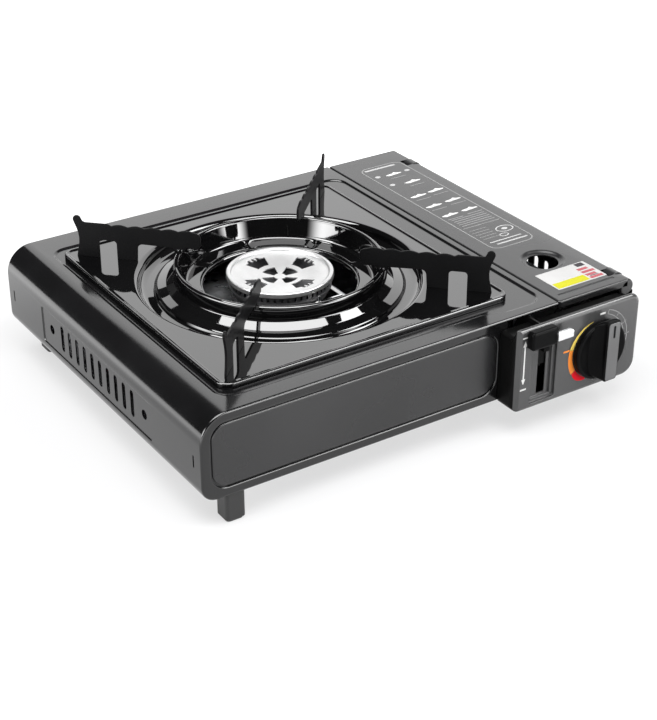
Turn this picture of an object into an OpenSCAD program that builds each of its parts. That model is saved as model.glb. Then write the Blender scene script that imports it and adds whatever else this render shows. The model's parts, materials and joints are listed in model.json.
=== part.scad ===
// Portable cassette gas stove.
// Every module draws its piece in body coordinates: x from the left wall, y from the front
// panel to the rear, z from the floor. home() then puts the middle of the footprint at the origin.

/* [Body] */
// Height of the body shell
body_h = 61.5; // [58:0.5:80]
// Thickness of the steel sheet
sheet_t = 0.8; // [0.6:0.1:1.2]
// Radius of the shell's upper left edge
top_round = 20; // [12:1:24]
// Radius of the shell's lower left edge
bottom_round = 11; // [6:1:14]
// Width of the folded lip round the front and rear panels
lip_w = 7; // [5:0.5:10]
// Corner radius of the panels
panel_round = 12; // [6:1:16]

/* [Feet] */
// Height of the feet under the body
foot_h = 22; // [16:1:30]
// Width of a foot
foot_w = 14.4; // [10:0.2:18]
// Length of a foot
foot_l = 13.5; // [10:0.5:18]
// Distance of the left feet from the left wall
foot_side = 17.5; // [15:0.5:30]
// Distance of the front left foot from the front
foot_front = 2; // [2:0.5:20]
// Distance of the front right foot from the front
foot_front_right = 38; // [30:1:40]
// Distance of the rear feet from the rear
foot_rear = 7.5; // [7.5:0.5:20]
// Diameter of the plug that holds a foot in the base plate
foot_plug_d = 7; // [5:0.5:9]

/* [Top recess] */
// Distance of the recess from the left wall
recess_left = 24.8; // [24.8:0.2:30]
// Distance of the recess from the lid's edge
recess_right = 5.2; // [3:0.2:10]
// Distance of the recess from the front
recess_front = 14.8; // [10:0.2:20]
// Distance of the recess from the rear
recess_rear = 23.7; // [20:0.1:30]
// Depth of the recess
recess_depth = 1.2; // [0.8:0.1:2]
// Corner radius of the recess
recess_round = 12; // [6:1:20]
// Width of the step towards the front at the recess's right end
jog_w = 42; // [30:1:60]
// How far that step reaches towards the front
jog_out = 5.2; // [2:0.2:6]

/* [Side vents] */
// Number of upright slots in each side wall
vent_n = 10; // [6:1:12]
// Distance between the slots
vent_pitch = 11.7; // [9:0.1:13]
// Width of a slot
vent_w = 4.8; // [2:0.2:6]
// Height of a slot
vent_h = 20; // [14:1:24]
// Diameter of the round hole at each end of the slots
vent_hole_d = 7; // [4:0.5:9]
// Depth of the pressed field round the vents
vent_press = 0.8; // [0.4:0.1:1.2]

/* [Drip pan] */
// Width of the pan's flat to the left and right of the bowl
pan_side = 11.2; // [9:0.2:16]
// Length of the pan's flat in front of and behind the bowl
pan_end = 13.2; // [9:0.2:18]
// Gap between the pan and the recess's left side
pan_left_gap = 4.7; // [2:0.1:8]
// Gap between the pan and the recess's right side
pan_right_gap = 17.3; // [10:0.1:24]
// Gap between the pan and the recess's front
pan_front_gap = 8.5; // [4:0.5:12]
// Gap between the pan and the recess's rear
pan_rear_gap = 9; // [4:0.5:12]
// Corner radius of the drip pan
pan_round = 9; // [5:1:14]
// Thickness of the enamelled pan
pan_t = 1.0; // [0.8:0.1:1.4]
// Height of the pan's flat above the body
pan_rise = 2; // [1:0.1:3]
// Width of the raised bead along the pan's edge
pan_bead_w = 3.6; // [2.5:0.1:5]
// Height of that bead above the flat
pan_bead_h = 0.9; // [0.5:0.1:1.5]
// Radius of the round bowl
bowl_r = 103.3; // [98:0.1:106]
// Depth of the bowl's channel
bowl_depth = 8; // [5:0.5:10]
// Radius of the raised ring inside the bowl
ring_r = 72.6; // [66:0.2:76]
// Height of the ring above the flat
ring_rise = 11.5; // [8:0.5:14]
// Radius of the hole round the burner
pan_hole_r = 54.4; // [50:0.2:58]
// Depth of the hole's edge below the flat
pan_hole_drop = 9; // [7:0.5:12]

/* [Pot supports] */
// Thickness of a pot support
support_t = 1.6; // [1.2:0.1:2.5]
// Height of the pot level above the pan's flat
pot_level = 25.3; // [20:0.1:30]
// Height of the horn at the outer end above the pan's flat
horn_rise = 31.6; // [26:0.2:36]
// How far a support reaches inwards past the ring
support_over = 15.6; // [10:0.2:20]
// How far a support reaches outwards past the bowl's edge
support_reach = 46.7; // [42:0.1:48]
// Number of shallow teeth along the top edge
tooth_n = 5; // [4:1:8]

/* [Burner] */
// Radius of the burner cap
cap_r = 38; // [34:0.5:42]
// Height of the cap's rim above the body
cap_rise = 4.8; // [3:0.2:8]
// Depth of the dish in the cap
cap_dish = 4; // [2:0.5:5]
// Height of the toothed flame ring under the cap
flame_ring_h = 6; // [4:0.5:8]
// Number of flame ports
port_n = 48; // [24:4:60]
// Outer radius of the mixing tube
tube_r = 8; // [6:0.5:9]

/* [Cartridge bay] */
// Diameter of the gas cartridge that the bay takes
can_d = 66; // [60:1:68]
// Clearance round the cartridge
can_clear = 0.7; // [0.5:0.1:2]
// Distance of the cartridge's top below the body's top
can_drop = 2; // [1.5:0.1:4]
// Distance of the bay's front end from the body's front
bay_front = 64; // [60:1:80]

/* [Lid] */
// Gap between the lid and the body shell
lid_gap = 1.4; // [0.8:0.1:2.5]
// Height of the lid's folded edges
lid_flange = 5; // [3:0.5:6]
// Radius of the lid's rolled hinge edge
lid_round = 6; // [5:0.5:8]
// Diameter of the round window
window_d = 23; // [18:0.5:26]
// Diameter of the pressed rim round the window
window_rim_d = 32; // [28:0.5:36]
// Distance of the window from the front
window_y = 58.5; // [54:0.5:66]
// Width of the sticker in front of the window
label_w = 44; // [20:1:50]
// Length of the sticker
label_l = 26.3; // [15:0.1:28]
// Distance of the sticker from the front
label_front = 12.5; // [8:0.5:14]

/* [Hinge] */
// Diameter of the hinge pins
pin_d = 3; // [2:0.5:4]
// Radial clearance of turning and sliding fits
run_c = 0.05; // [0.02:0.01:0.1]
// Outer radius of a hinge knuckle
knuckle_r = 6.6; // [6:0.1:8]
// Length of a hinge knuckle
knuckle_l = 10; // [8:0.5:14]
// Distance of the front knuckle from the front
knuckle_front = 12; // [11:0.5:20]
// Distance of the rear knuckle from the rear
knuckle_rear = 24; // [14:1:40]

/* [Control box] */
// Distance of the control box from the right wall
box_side = 11; // [8:0.5:14]
// Width of the control box
box_w = 109; // [104:0.5:115]
// How far the control box stands in front of the front panel
box_out = 18.7; // [16:0.1:24]
// How far it reaches below the body
box_drop = 1.9; // [0:0.1:4]
// Thickness of the control box cover
box_t = 1; // [0.8:0.1:1.5]
// Corner radius at the lower right
box_round = 10; // [6:0.5:12]
// Chamfer along the left edge of the face
box_chamfer = 4; // [2:0.5:6]
// Width of the top flange behind the face
box_flange = 5.5; // [3:0.5:8]

/* [Knob] */
// Distance of the knob's axis from the cartridge's axis
knob_side = 12.7; // [11:0.1:14]
// Height of the knob's axis above the body's underside
knob_rise = 28.2; // [26:0.2:30]
// Radius of the knob
knob_r = 22; // [18:0.5:24]
// How far the knob stands in front of the cover
knob_out = 17.5; // [14:0.5:22]
// Width of the grip at its front
grip_w = 8; // [6:0.5:12]
// Turning angle from off to ignition
knob_turn = 160; // [120:5:170]
// Diameter of the valve spindle
spindle_d = 6; // [5:0.5:7]

/* [Igniter] */
// Smallest radius of the ignition cam
cam_r = 7; // [5.5:0.5:8]
// Stroke of the igniter's plunger
plunger_stroke = 5; // [3:0.5:6]
// Diameter of the plunger
plunger_d = 6; // [4:0.5:7]

/* [Lock lever] */
// Distance of the lever's slot from the control box's left side
lever_in = 25; // [23:0.5:27]
// Travel of the lock lever
lever_travel = 24; // [18:1:24]
// Travel of the cartridge fork
fork_travel = 7; // [4:0.5:8]
// Width of the lever's recess in the cover
recess_lever_w = 22; // [18:0.5:24]

/* [Regulator] */
// Radius of the pressure regulator
regulator_r = 20; // [17:0.5:20]
// Distance of its front from the body's front
regulator_y = 17; // [16:0.5:20]

/* [Hidden] */
$fn = 72;
eps = 0.01;
touch = 0.3;                        // gap between pieces that lie loosely beside each other
base_z = foot_h;                    // underside of the body
top_z = foot_h + body_h;            // top of the body
floor_z = base_z + 2 * sheet_t;     // top of the base plate
pan_z = top_z + pan_rise;           // top of the pan's flat
ledge_z = top_z - recess_depth;     // top of the ledge that carries the pan

// the bowl sets the pan, the pan sets the recess, and the recess sets the body's depth
pan_w = 2 * (bowl_r + pan_side);
pan_l = 2 * (bowl_r + pan_end);
recess_w = pan_left_gap + pan_w + pan_right_gap;
recess_l = pan_front_gap + pan_l + pan_rear_gap;
burner_x = recess_left + pan_left_gap + pan_w / 2;
burner_y = recess_front + pan_front_gap + pan_l / 2;
body_d = recess_front + recess_l + recess_rear;
rear_in = body_d - 2 * sheet_t;     // inner face of the rear panel
under_flange = foot_side + foot_w + 2;
right_flange = 12;
pan_open_x = pan_w / 2 - 8;
pan_open_y = pan_l / 2 - 8;
support_in = ring_r - support_over;
support_out = bowl_r + support_reach;

// cartridge bay: a half-round tray between the recess and the right wall
tray_r = can_d / 2 + can_clear + sheet_t;
shell_edge = recess_left + recess_w + recess_right;   // right edge of the shell's top sheet
tray_left = shell_edge + 0.2;
tray_x = tray_left + tray_r;
body_w = tray_x + tray_r + sheet_t;
can_z = top_z - can_drop - can_d / 2;
tray_top = top_z - 7.5;
tray_foot = sqrt(pow(tray_r, 2) - pow(can_z - floor_z, 2)) + touch;   // half the tray's width there
lid_left = shell_edge + lid_gap;

// lid hinge: the axis runs along Y, concentric with the lid's rolled edge
hinge_x = body_w - lid_round;
hinge_z = top_z - lid_round;
curl_drop = sqrt(pow(lid_round, 2) - pow(lid_round - sheet_t, 2));
wall_top = hinge_z - curl_drop - 2 * touch;          // top of the right wall
curl_under = hinge_z - lid_round - touch;            // what lies under the rolled edge ends here
knuckle_ys = [knuckle_front, body_d - knuckle_rear - knuckle_l];

// control box
face_y = -box_out;
box_right = body_w - box_side;
box_left = box_right - box_w;
panel_w = box_left - 2;             // right end of the front panel
box_bottom = base_z - box_drop;
knob_back = face_y - 0.5;
knob_front = face_y - knob_out;
guide_y = face_y + box_t;           // front of the lever guide
guide_depth = 3.5;
slide_y = guide_y + guide_depth + touch;
bracket_y = 2 * sheet_t;            // the bracket stands behind the front panel's plane
bracket_t = 1;
bracket_back = bracket_y + bracket_t;
knob_x = tray_x - knob_side;
knob_z = base_z + knob_rise;
lever_x = box_left + lever_in;
neck_z = base_z + 40;
slot_w = 6.4;

// linkage between the lever and the cartridge fork
link_pin_r = 1.5;
link_y = 20;
link_z = base_z + 30.5;
fork_y = bay_front - 4;

// gas path
valve_r = 8.5;
valve_y = 9;
tube_dx = burner_x - knob_x;
tube_dy = burner_y - valve_y;
tube_turn = atan2(tube_dy, tube_dx);
tube_len = sqrt(tube_dx * tube_dx + tube_dy * tube_dy);
burner_r = cap_r - 4.5;
burner_bottom = knob_z - tube_r - 2;
cap_z = top_z + cap_rise;
ring_z = cap_z - 3.2 - flame_ring_h;   // underside of the flame ring

// electrode beside the burner
electrode_a = -80;
electrode_r = cap_r + 2.5;
electrode_x = burner_x + electrode_r * cos(electrode_a);
electrode_y = burner_y + electrode_r * sin(electrode_a);

// the middle of the footprint, with the knob in front and the hinge knuckles at the right
mid_x = (hinge_x + knuckle_r) / 2;
mid_y = (body_d + knob_front) / 2;

// ---- helpers ----

module home() { translate([-mid_x, -mid_y, 0]) children(); }

// an outline in the XZ plane carried along Y, or one in the YZ plane carried along X
module along_y(y0, y1) { translate([0, y1, 0]) rotate([90, 0, 0]) linear_extrude(y1 - y0) children(); }
module along_x(x0, x1) { translate([x0, 0, 0]) rotate([90, 0, 90]) linear_extrude(x1 - x0) children(); }
module along_z(z0, z1) { translate([0, 0, z0]) linear_extrude(z1 - z0) children(); }

module rod_x(y, z, x0, x1, r) { translate([x0, y, z]) rotate([0, 90, 0]) cylinder(h = x1 - x0, r = r); }
module rod_y(x, z, y0, y1, r) { translate([x, y1, z]) rotate([90, 0, 0]) cylinder(h = y1 - y0, r = r); }
module rod_z(x, y, z0, z1, r) { translate([x, y, z0]) cylinder(h = z1 - z0, r = r); }

module block(x0, x1, y0, y1, z0, z1) { translate([x0, y0, z0]) cube([x1 - x0, y1 - y0, z1 - z0]); }

// a rectangle with a radius of its own at each corner
module corners(x0, y0, x1, y1, bl, br, tr, tl) {
    polygon([[x0 + bl, y0], [x1 - br, y0], [x1, y0 + br], [x1, y1 - tr],
             [x1 - tr, y1], [x0 + tl, y1], [x0, y1 - tl], [x0, y0 + bl]]);
    translate([x0 + bl, y0 + bl]) circle(bl);
    translate([x1 - br, y0 + br]) circle(br);
    translate([x1 - tr, y1 - tr]) circle(tr);
    translate([x0 + tl, y1 - tl]) circle(tl);
}
module rounded(x0, y0, x1, y1, r) { corners(x0, y0, x1, y1, r, r, r, r); }

// round-ended slot of total length l along 2D y
module slot_2d(w, l) {
    square([w, l - w], center = true);
    translate([0, (l - w) / 2]) circle(w / 2);
    translate([0, (w - l) / 2]) circle(w / 2);
}

function arc(cx, cy, r, a0, a1, n) =
    [for (i = [0 : n]) [cx + r * cos(a0 + (a1 - a0) * i / n), cy + r * sin(a0 + (a1 - a0) * i / n)]];

// a tube with n sides through the points of a path, as one closed polyhedron;
// side is a direction that no stretch of the path runs along
function unit(v) = v / norm(v);
function heading(p, i) = unit(p[min(i + 1, len(p) - 1)] - p[max(i - 1, 0)]);
module sweep_tube(path, r, n, side) {
    rings = len(path);
    pts = [for (i = [0 : rings - 1])
        let (d = heading(path, i), u = unit(cross(d, side)), v = cross(d, u))
        for (k = [0 : n - 1]) path[i] + r * (cos(360 * k / n) * u + sin(360 * k / n) * v)];
    sides = [for (i = [0 : rings - 2]) for (k = [0 : n - 1])
        [i * n + k, (i + 1) * n + k, (i + 1) * n + (k + 1) % n, i * n + (k + 1) % n]];
    ends = [[for (k = [0 : n - 1]) k], [for (k = [n - 1 : -1 : 0]) (rings - 1) * n + k]];
    polyhedron(points = pts, faces = concat(sides, ends));
}

// a coil spring along Y with its first end at y0
module coil_y(x, z, y0, y1, r, wire, turns) {
    steps = 12;
    span = y1 - y0 - 2 * wire;
    sweep_tube([for (i = [0 : turns * steps])
        [x + r * cos(360 * i / steps), y0 + wire + span * i / (turns * steps),
         z + r * sin(360 * i / steps)]], wire, 6, [0, 1, 0]);
}

// ---- body ----

module shell_outline(inset) {
    corners(inset, base_z + inset, body_w - inset, top_z - inset,
            bottom_round - inset, lid_round - inset, lid_round - inset, top_round - inset);
}

// plan of the recess, with its step towards the front at the right
module recess_outline(grow) {
    x0 = recess_left - grow;
    x1 = recess_left + recess_w + grow;
    y0 = recess_front - grow;
    y1 = recess_front + recess_l + grow;
    rounded(x0, y0, x1, y1, recess_round + grow);
    rounded(x1 - jog_w - 2 * grow, y0 - jog_out, x1, y0 + jog_w, recess_round + grow);
}

module pan_opening() {
    rounded(burner_x - pan_open_x, burner_y - pan_open_y,
            burner_x + pan_open_x, burner_y + pan_open_y, 20);
}

vent_first_y = burner_y + 6 - (vent_n - 1) * vent_pitch / 2;
vent_z = base_z + bottom_round + 16;
vent_y0 = vent_first_y - 28;
vent_y1 = vent_first_y + (vent_n - 1) * vent_pitch + 32;

module vent_field(grow) {
    rounded(vent_y0 - grow, vent_z - vent_h / 2 - 5 - grow,
            vent_y1 + grow, vent_z + vent_h / 2 + 3 + grow, 2 + grow);
}

// the openings of one side wall, cut from x0 to x0 + 6
module vent_cuts(x0) {
    for (i = [0 : vent_n - 1])
        along_x(x0, x0 + 6) translate([vent_first_y + i * vent_pitch, vent_z]) slot_2d(vent_w, vent_h);
    for (y = [vent_first_y - 17, vent_first_y + (vent_n - 1) * vent_pitch + 17])
        rod_x(y, vent_z, x0, x0 + 6, vent_hole_d / 2);
    for (y = [10, body_d - 10])
        along_x(x0, x0 + 6) translate([y, vent_z]) slot_2d(1.6, 9);
}

// what the lid and its rolled edge need above the lips and the right wall
module lid_room() {
    curl_x = hinge_x - lid_round - 2 * touch;
    polygon([[shell_edge, top_z + 1], [shell_edge, top_z - lid_flange - touch],
             [curl_x, top_z - lid_flange - touch], [curl_x, curl_under],
             [body_w - sheet_t, curl_under], [body_w - sheet_t, wall_top],
             [body_w + 1, wall_top], [body_w + 1, top_z + 1]]);
}

module front_window(grow) {
    rounded(lip_w - grow, base_z + lip_w - grow, panel_w - 0.5 + grow, top_z - lip_w + grow,
            panel_round + grow);
}

module outer_shell() {
    color("#2b2c2e") difference() {
        union() {
            along_y(0, body_d) difference() {
                shell_outline(0);
                shell_outline(sheet_t);
            }
            along_z(ledge_z - sheet_t, top_z - sheet_t) recess_outline(sheet_t);
            intersection() {
                along_x(0, vent_press + sheet_t) vent_field(sheet_t);
                along_y(0, body_d) shell_outline(0);
            }
            along_y(0, sheet_t) intersection() {
                shell_outline(0);
                union() {
                    translate([0, base_z]) square([box_left + 6, body_h]);
                    translate([box_right + 1, base_z]) square([box_side, body_h]);
                }
            }
            along_y(body_d - sheet_t, body_d) shell_outline(0);
        }
        along_z(ledge_z, top_z + 1) recess_outline(0);
        along_z(ledge_z - 2, top_z + 1) pan_opening();
        along_x(-1, vent_press) vent_field(0);
        for (x = [-1, body_w - 5]) vent_cuts(x);
        along_y(-1, sheet_t + eps) front_window(0);
        along_y(body_d - sheet_t - eps, body_d + 1)
            rounded(lip_w, base_z + lip_w, body_w - lip_w, top_z - lip_w, panel_round);
        along_y(-1, body_d + 1) lid_room();
        block(under_flange, body_w - right_flange, lip_w, body_d - lip_w,
              base_z - 1, base_z + sheet_t + eps);
        block(box_left + 6, box_right, -1, lip_w + eps, base_z - 1, base_z + sheet_t + eps);
        block(tray_x - tray_foot, tray_x + tray_foot, body_d - lip_w - eps, rear_in + touch,
              base_z - 1, base_z + sheet_t + eps);
        for (p = [foot_points[0], foot_points[2]])
            rod_z(p[0] + foot_w / 2, p[1] + foot_l / 2, base_z - 1, floor_z, foot_plug_d / 2 + run_c);
    }
}

module front_panel() {
    color("#3a3b3d") {
        along_y(sheet_t, 2 * sheet_t) front_window(lip_w - 2 * sheet_t - touch);
        along_y(0.2, sheet_t) front_window(-1);
    }
}

module rear_panel() {
    color("#303133") difference() {
        along_y(rear_in, body_d - sheet_t) difference() {
            shell_outline(sheet_t + touch);
            lid_room();
        }
        for (i = [0 : 7])
            along_y(rear_in - 1, body_d) translate([burner_x - 94 + i * 25, base_z + body_h / 2])
                rotate(90) slot_2d(4, 16);
    }
}

module foot_plugs(grow, z1) {
    for (p = foot_points)
        rod_z(p[0] + foot_w / 2, p[1] + foot_l / 2, base_z - 1, z1, foot_plug_d / 2 + grow);
}

base_slot_dx = 36;  // distance between the air slots of a row
base_slot_dy = 62;  // distance between the rows
module base_plate() {
    front = bracket_back + touch;
    slot_x = burner_x - 2.6 * base_slot_dx;
    color("#8d9093") difference() {
        union() {
            block(bottom_round + 1, tray_x - tray_foot, front, rear_in, base_z + sheet_t, floor_z);
            block(bottom_round + 1, body_w - right_flange - touch, front, bay_front - 2,
                  base_z + sheet_t, floor_z);
            for (y = [link_y + 10, link_y + 26]) for (x = [fork_x - touch - 1, fork_x + 1.5 + touch])
                block(x, x + 1, y, y + 6, floor_z - eps, floor_z + 6);
        }
        foot_plugs(run_c, floor_z + 1);
        for (row = [0 : 2]) for (i = [0 : 5])
            along_z(base_z, floor_z + 1)
                translate([slot_x + i * base_slot_dx, burner_y + (row - 1) * base_slot_dy]) slot_2d(4, 30);
    }
}

module heat_partition() {
    color("#9a9da0") difference() {
        union() {
            block(tray_left - sheet_t, tray_left, bay_front, rear_in, floor_z, top_z - sheet_t);
            block(tray_left - 9, tray_left, bay_front, rear_in, floor_z, floor_z + sheet_t);
        }
        for (i = [0 : 7])
            along_x(tray_left - 2, tray_left + 1)
                translate([bay_front + 26 + i * 24, top_z - 22]) slot_2d(5, 20);
    }
}

tray_lip = 2;       // height of the tray's flange along the right wall, below the vents' tops
module cartridge_tray() {
    color("#a7aaad") difference() {
        along_y(bay_front, rear_in) {
            difference() {
                translate([tray_x, can_z]) circle(tray_r);
                translate([tray_x, can_z]) circle(tray_r - sheet_t);
                translate([tray_left - 1, can_z]) square([2 * tray_r + 2, tray_r + 1]);
            }
            translate([tray_left, can_z]) square([sheet_t, tray_top - can_z]);
            translate([body_w - 2 * sheet_t, can_z]) square([sheet_t, tray_lip]);
        }
        for (i = [0 : 4])
            along_z(can_z - tray_r - 1, can_z - tray_r + 3)
                translate([tray_x, bay_front + 32 + i * 40]) slot_2d(6, 26);
    }
}

foot_right = tray_left - foot_w - 8;
foot_points = [[foot_side, foot_front], [foot_right, foot_front_right],
    [foot_side, body_d - foot_rear - foot_l], [foot_right, body_d - foot_rear - foot_l]];

module foot(i) {
    p = foot_points[i];
    seat = i == 0 || i == 2 ? base_z : base_z + sheet_t;
    color("#1a1a1b") {
        along_z(1.5, seat) rounded(p[0], p[1], p[0] + foot_w, p[1] + foot_l, 2.5);
        along_z(0, 1.5 + eps)
            rounded(p[0] + 1, p[1] + 1, p[0] + foot_w - 1, p[1] + foot_l - 1, 2.5);
        rod_z(p[0] + foot_w / 2, p[1] + foot_l / 2, seat - eps, floor_z + 1.5, foot_plug_d / 2);
    }
}
module foot_front_left() { foot(0); }
module foot_front_right() { foot(1); }
module foot_rear_left() { foot(2); }
module foot_rear_right() { foot(3); }

// ---- drip pan and pot supports ----

module pan_outline(inset) {
    rounded(burner_x - pan_w / 2 + inset, burner_y - pan_l / 2 + inset,
            burner_x + pan_w / 2 - inset, burner_y + pan_l / 2 - inset, pan_round - min(inset, 5));
}

// a sheet's cross-section: its upper face as a path from outside to inside, and its thickness
function left_normal(p, i) =
    let (a = p[max(i - 1, 0)], b = p[min(i + 1, len(p) - 1)], d = (b - a) / norm(b - a)) [-d[1], d[0]];
function sheet_section(p, t) =
    concat(p, [for (i = [len(p) - 1 : -1 : 0]) p[i] + t * left_normal(p, i)]);

// upper face of the bowl: edge, channel, raised ring, and the slope down to the burner hole
bowl_edge_r = 4;
bowl_fillet = bowl_depth / (1 - sin(10)) - bowl_edge_r;
ring_top_r = 1.9;
ring_fillet = 5;
ring_lean = 6;
ring_top = ring_rise - ring_top_r;
channel_out = bowl_r - bowl_edge_r * cos(10) - bowl_fillet * cos(10);
wall_foot = ring_fillet * (1 - sin(ring_lean)) - bowl_depth;
wall_out = ring_r + ring_top_r + (ring_top - wall_foot) * tan(ring_lean);
slope_r = 4;
wall_in = ring_r - ring_top_r - 1;
bowl_path = concat(
    [[bowl_r + 2, 0]],
    arc(bowl_r, -bowl_edge_r, bowl_edge_r, 90, 170, 8),
    arc(channel_out, bowl_fillet - bowl_depth, bowl_fillet, -10, -90, 8),
    arc(wall_out + ring_fillet * cos(ring_lean), ring_fillet - bowl_depth,
        ring_fillet, -90, -180 + ring_lean, 8),
    arc(ring_r, ring_top, ring_top_r, 6, 174, 10),
    arc(wall_in - slope_r, slope_r - 5, slope_r, -5, -71, 6),
    [[pan_hole_r, -pan_hole_drop]]);

module lug_slots() {
    for (a = [45 : 90 : 315])
        translate([burner_x, burner_y, 0]) rotate(a) for (r = lug_rs)
            block(r - run_c, r + lug_w + run_c, -support_t / 2 - run_c, support_t / 2 + run_c,
                  pan_z - 3, pan_z + 1);
}
lug_rs = [bowl_r + 5.7, support_out - 12];
lug_w = 5;

module drip_pan() {
    rim_z = pan_z + pan_bead_h;
    color("#141415") difference() {
        union() {
            along_z(pan_z - pan_t, pan_z) difference() {
                pan_outline(pan_bead_w - pan_t);
                translate([burner_x, burner_y]) circle(bowl_r + 1);
            }
            along_z(ledge_z + 0.1, rim_z) difference() {
                pan_outline(0);
                pan_outline(pan_t);
            }
            along_z(rim_z - pan_t, rim_z) difference() {
                pan_outline(0);
                pan_outline(pan_bead_w);
            }
            along_z(pan_z - pan_t, rim_z) difference() {
                pan_outline(pan_bead_w - pan_t);
                pan_outline(pan_bead_w);
            }
            translate([burner_x, burner_y, pan_z]) rotate_extrude(convexity = 8)
                polygon(sheet_section(bowl_path, pan_t));
        }
        lug_slots();
    }
}

// side view of a pot support: x outwards from the burner's axis, y up from the pan's flat
tooth_out = support_out - 27;
tooth_in = support_in + 4.2;
tooth_h = 1.3;                      // height of a tooth
tooth_pitch = (tooth_out - tooth_in) / tooth_n;
window_in = support_out - 30.5;
module support_side() {
    difference() {
        polygon(concat(
            [[bowl_r + 1.2, 0], [support_out - 0.3, 0], [support_out - 1.2, 5],
             [support_out - 2.6, 12], [support_out - 2.2, 18], [support_out - 0.6, 23]],
            arc(support_out - 1.8, horn_rise - 3, 3, -15, 165, 9),
            [[support_out - 5.5, pot_level + 2.2], [support_out - 7.5, pot_level + tooth_h],
             [tooth_out + 2.5, pot_level + tooth_h]],
            [for (k = [0 : tooth_n - 1]) for (j = [0 : 5])
                [tooth_out - (k + j / 6) * tooth_pitch, pot_level + tooth_h * sin(30 * j)]],
            arc(support_in + 4.2, pot_level - 4.2, 4.2, 90, 180, 5),
            arc(support_in + 4.6, pot_level - 8, 4.6, 180, 260, 5),
            [[ring_r - 4, ring_rise + 1.6], [ring_r - 3.4, ring_rise - 1.4],
             [ring_r - 2.4, ring_rise - 1.4], [ring_r - 2.2, ring_rise + 0.1],
             [ring_r + 2.2, ring_rise + 0.1], [ring_r + 2.6, ring_rise - 1.8],
             [ring_r + 4.2, ring_rise - 1.8], [ring_r + 5, ring_rise + 1.2]],
            arc(bowl_r - 3.3, ring_rise - 2.2, 3.9, 90, 0, 5)));
        translate([window_in, -4]) rounded(0, 0, 13, 18, 2.6);
    }
    for (r = lug_rs)
        translate([r, -pan_t - 0.6]) square([lug_w, pan_t + 1]);
}

module pot_support(a) {
    color("#1d1d1e") translate([burner_x, burner_y, pan_z]) rotate(a) rotate([90, 0, 0])
        linear_extrude(support_t, center = true) support_side();
}
module pot_support_rear_right() { pot_support(45); }
module pot_support_rear_left() { pot_support(135); }
module pot_support_front_left() { pot_support(225); }
module pot_support_front_right() { pot_support(315); }

// ---- burner ----

module at_burner(z) { translate([burner_x, burner_y, z]) children(); }

module ring_sector(r0, r1, a0, a1) {
    polygon(concat(arc(0, 0, r1, a0, a1, 12), arc(0, 0, r0, a1, a0, 12)));
}

cap_turn = 12;
module burner_cap() {
    path = [[cap_r, -3], [cap_r, -0.5], [cap_r - 0.5, 0], [cap_r - 3.2, 0], [cap_r - 4, -1.2],
            [cap_r - 15, -cap_dish], [0, -cap_dish]];
    color("#d8d9da") difference() {
        at_burner(cap_z) rotate_extrude(convexity = 6) polygon(sheet_section(path, 1));
        for (k = [0 : 3]) at_burner(cap_z - 8) rotate(cap_turn + 90 * k) linear_extrude(9) {
            ring_sector(4, 13.5, -34, 34);
            ring_sector(18.5, 27, -17, 17);
        }
    }
}

module flame_ring() {
    r = cap_r - 2.5;
    color("#8b8d8f") difference() {
        at_burner(ring_z) difference() {
            cylinder(h = flame_ring_h, r = r);
            translate([0, 0, -1]) cylinder(h = flame_ring_h + 2, r = r - 5);
        }
        for (i = [0 : port_n - 1])
            at_burner(ring_z + 1) rotate(360 * i / port_n)
                translate([r - 2, -0.9, 0]) cube([3, 1.8, flame_ring_h - 2]);
    }
}

neck_r = tube_r + 4;
boss_r = tube_r + 1.6;               // radius of the boss that takes the mixing tube
neck_top = knob_z + boss_r + 3.3;    // the head widens above the boss
module burner_body() {
    outer = [[neck_r, burner_bottom], [neck_r, neck_top], [burner_r - 4, neck_top + 5],
             [burner_r, neck_top + 9], [burner_r, ring_z - 1.5], [cap_r - 1.5, ring_z - 1.5],
             [cap_r - 1.5, ring_z]];
    inner = [[burner_r - 3, ring_z], [burner_r - 3, neck_top + 10], [burner_r - 6, neck_top + 7],
             [neck_r - 3, neck_top + 3], [neck_r - 3, burner_bottom + 2], [0, burner_bottom + 2]];
    color("#7d8083") difference() {
        union() {
            at_burner(0) rotate_extrude(convexity = 4)
                polygon(concat([[0, burner_bottom]], outer, inner));
            gas_line() rotate([0, 90, 0]) difference() {
                translate([0, 0, tube_len - neck_r - 12]) cylinder(h = 14, r = boss_r);
                translate([0, 0, tube_len]) rotate([0, 90, 0])
                    cylinder(h = 60, r = neck_r - 1.5, center = true);
            }
        }
        gas_line() rotate([0, 90, 0])
            translate([0, 0, tube_len - neck_r - 13]) cylinder(h = 21, r = tube_r + run_c);
    }
}

stand_x = 22;       // half the width of the bracket's bridge
stand_y = 14;       // half its length
stand_t = 1.2;      // its sheet
stand_foot = 11.2;  // width of each of its feet
module burner_bracket() {
    y0 = burner_y - stand_y;
    y1 = burner_y + stand_y;
    color("#b9bbbd") difference() {
        union() {
            block(burner_x - stand_x, burner_x + stand_x, y0, y1, burner_bottom - stand_t, burner_bottom);
            for (s = [-1, 1]) {
                leg = burner_x + s * (stand_x - stand_t / 2);
                toe = burner_x + s * (stand_x - stand_t + stand_foot / 2 + 0.4);
                block(leg - stand_t / 2, leg + stand_t / 2, y0, y1, floor_z, burner_bottom);
                block(toe - stand_foot / 2 - 0.4, toe + stand_foot / 2 + 0.4, y0, y1,
                      floor_z, floor_z + stand_t);
            }
        }
        rod_z(burner_x, burner_y, floor_z, burner_bottom + 1, 3);
        for (s = [-1, 1])
            rod_z(burner_x + s * (stand_x + stand_foot / 2), burner_y, floor_z - 1, floor_z + 2, 1.6);
    }
}

// the line from the valve to the burner: +X runs along it
module gas_line() { translate([knob_x, valve_y, knob_z]) rotate([0, 0, tube_turn]) children(); }

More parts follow.
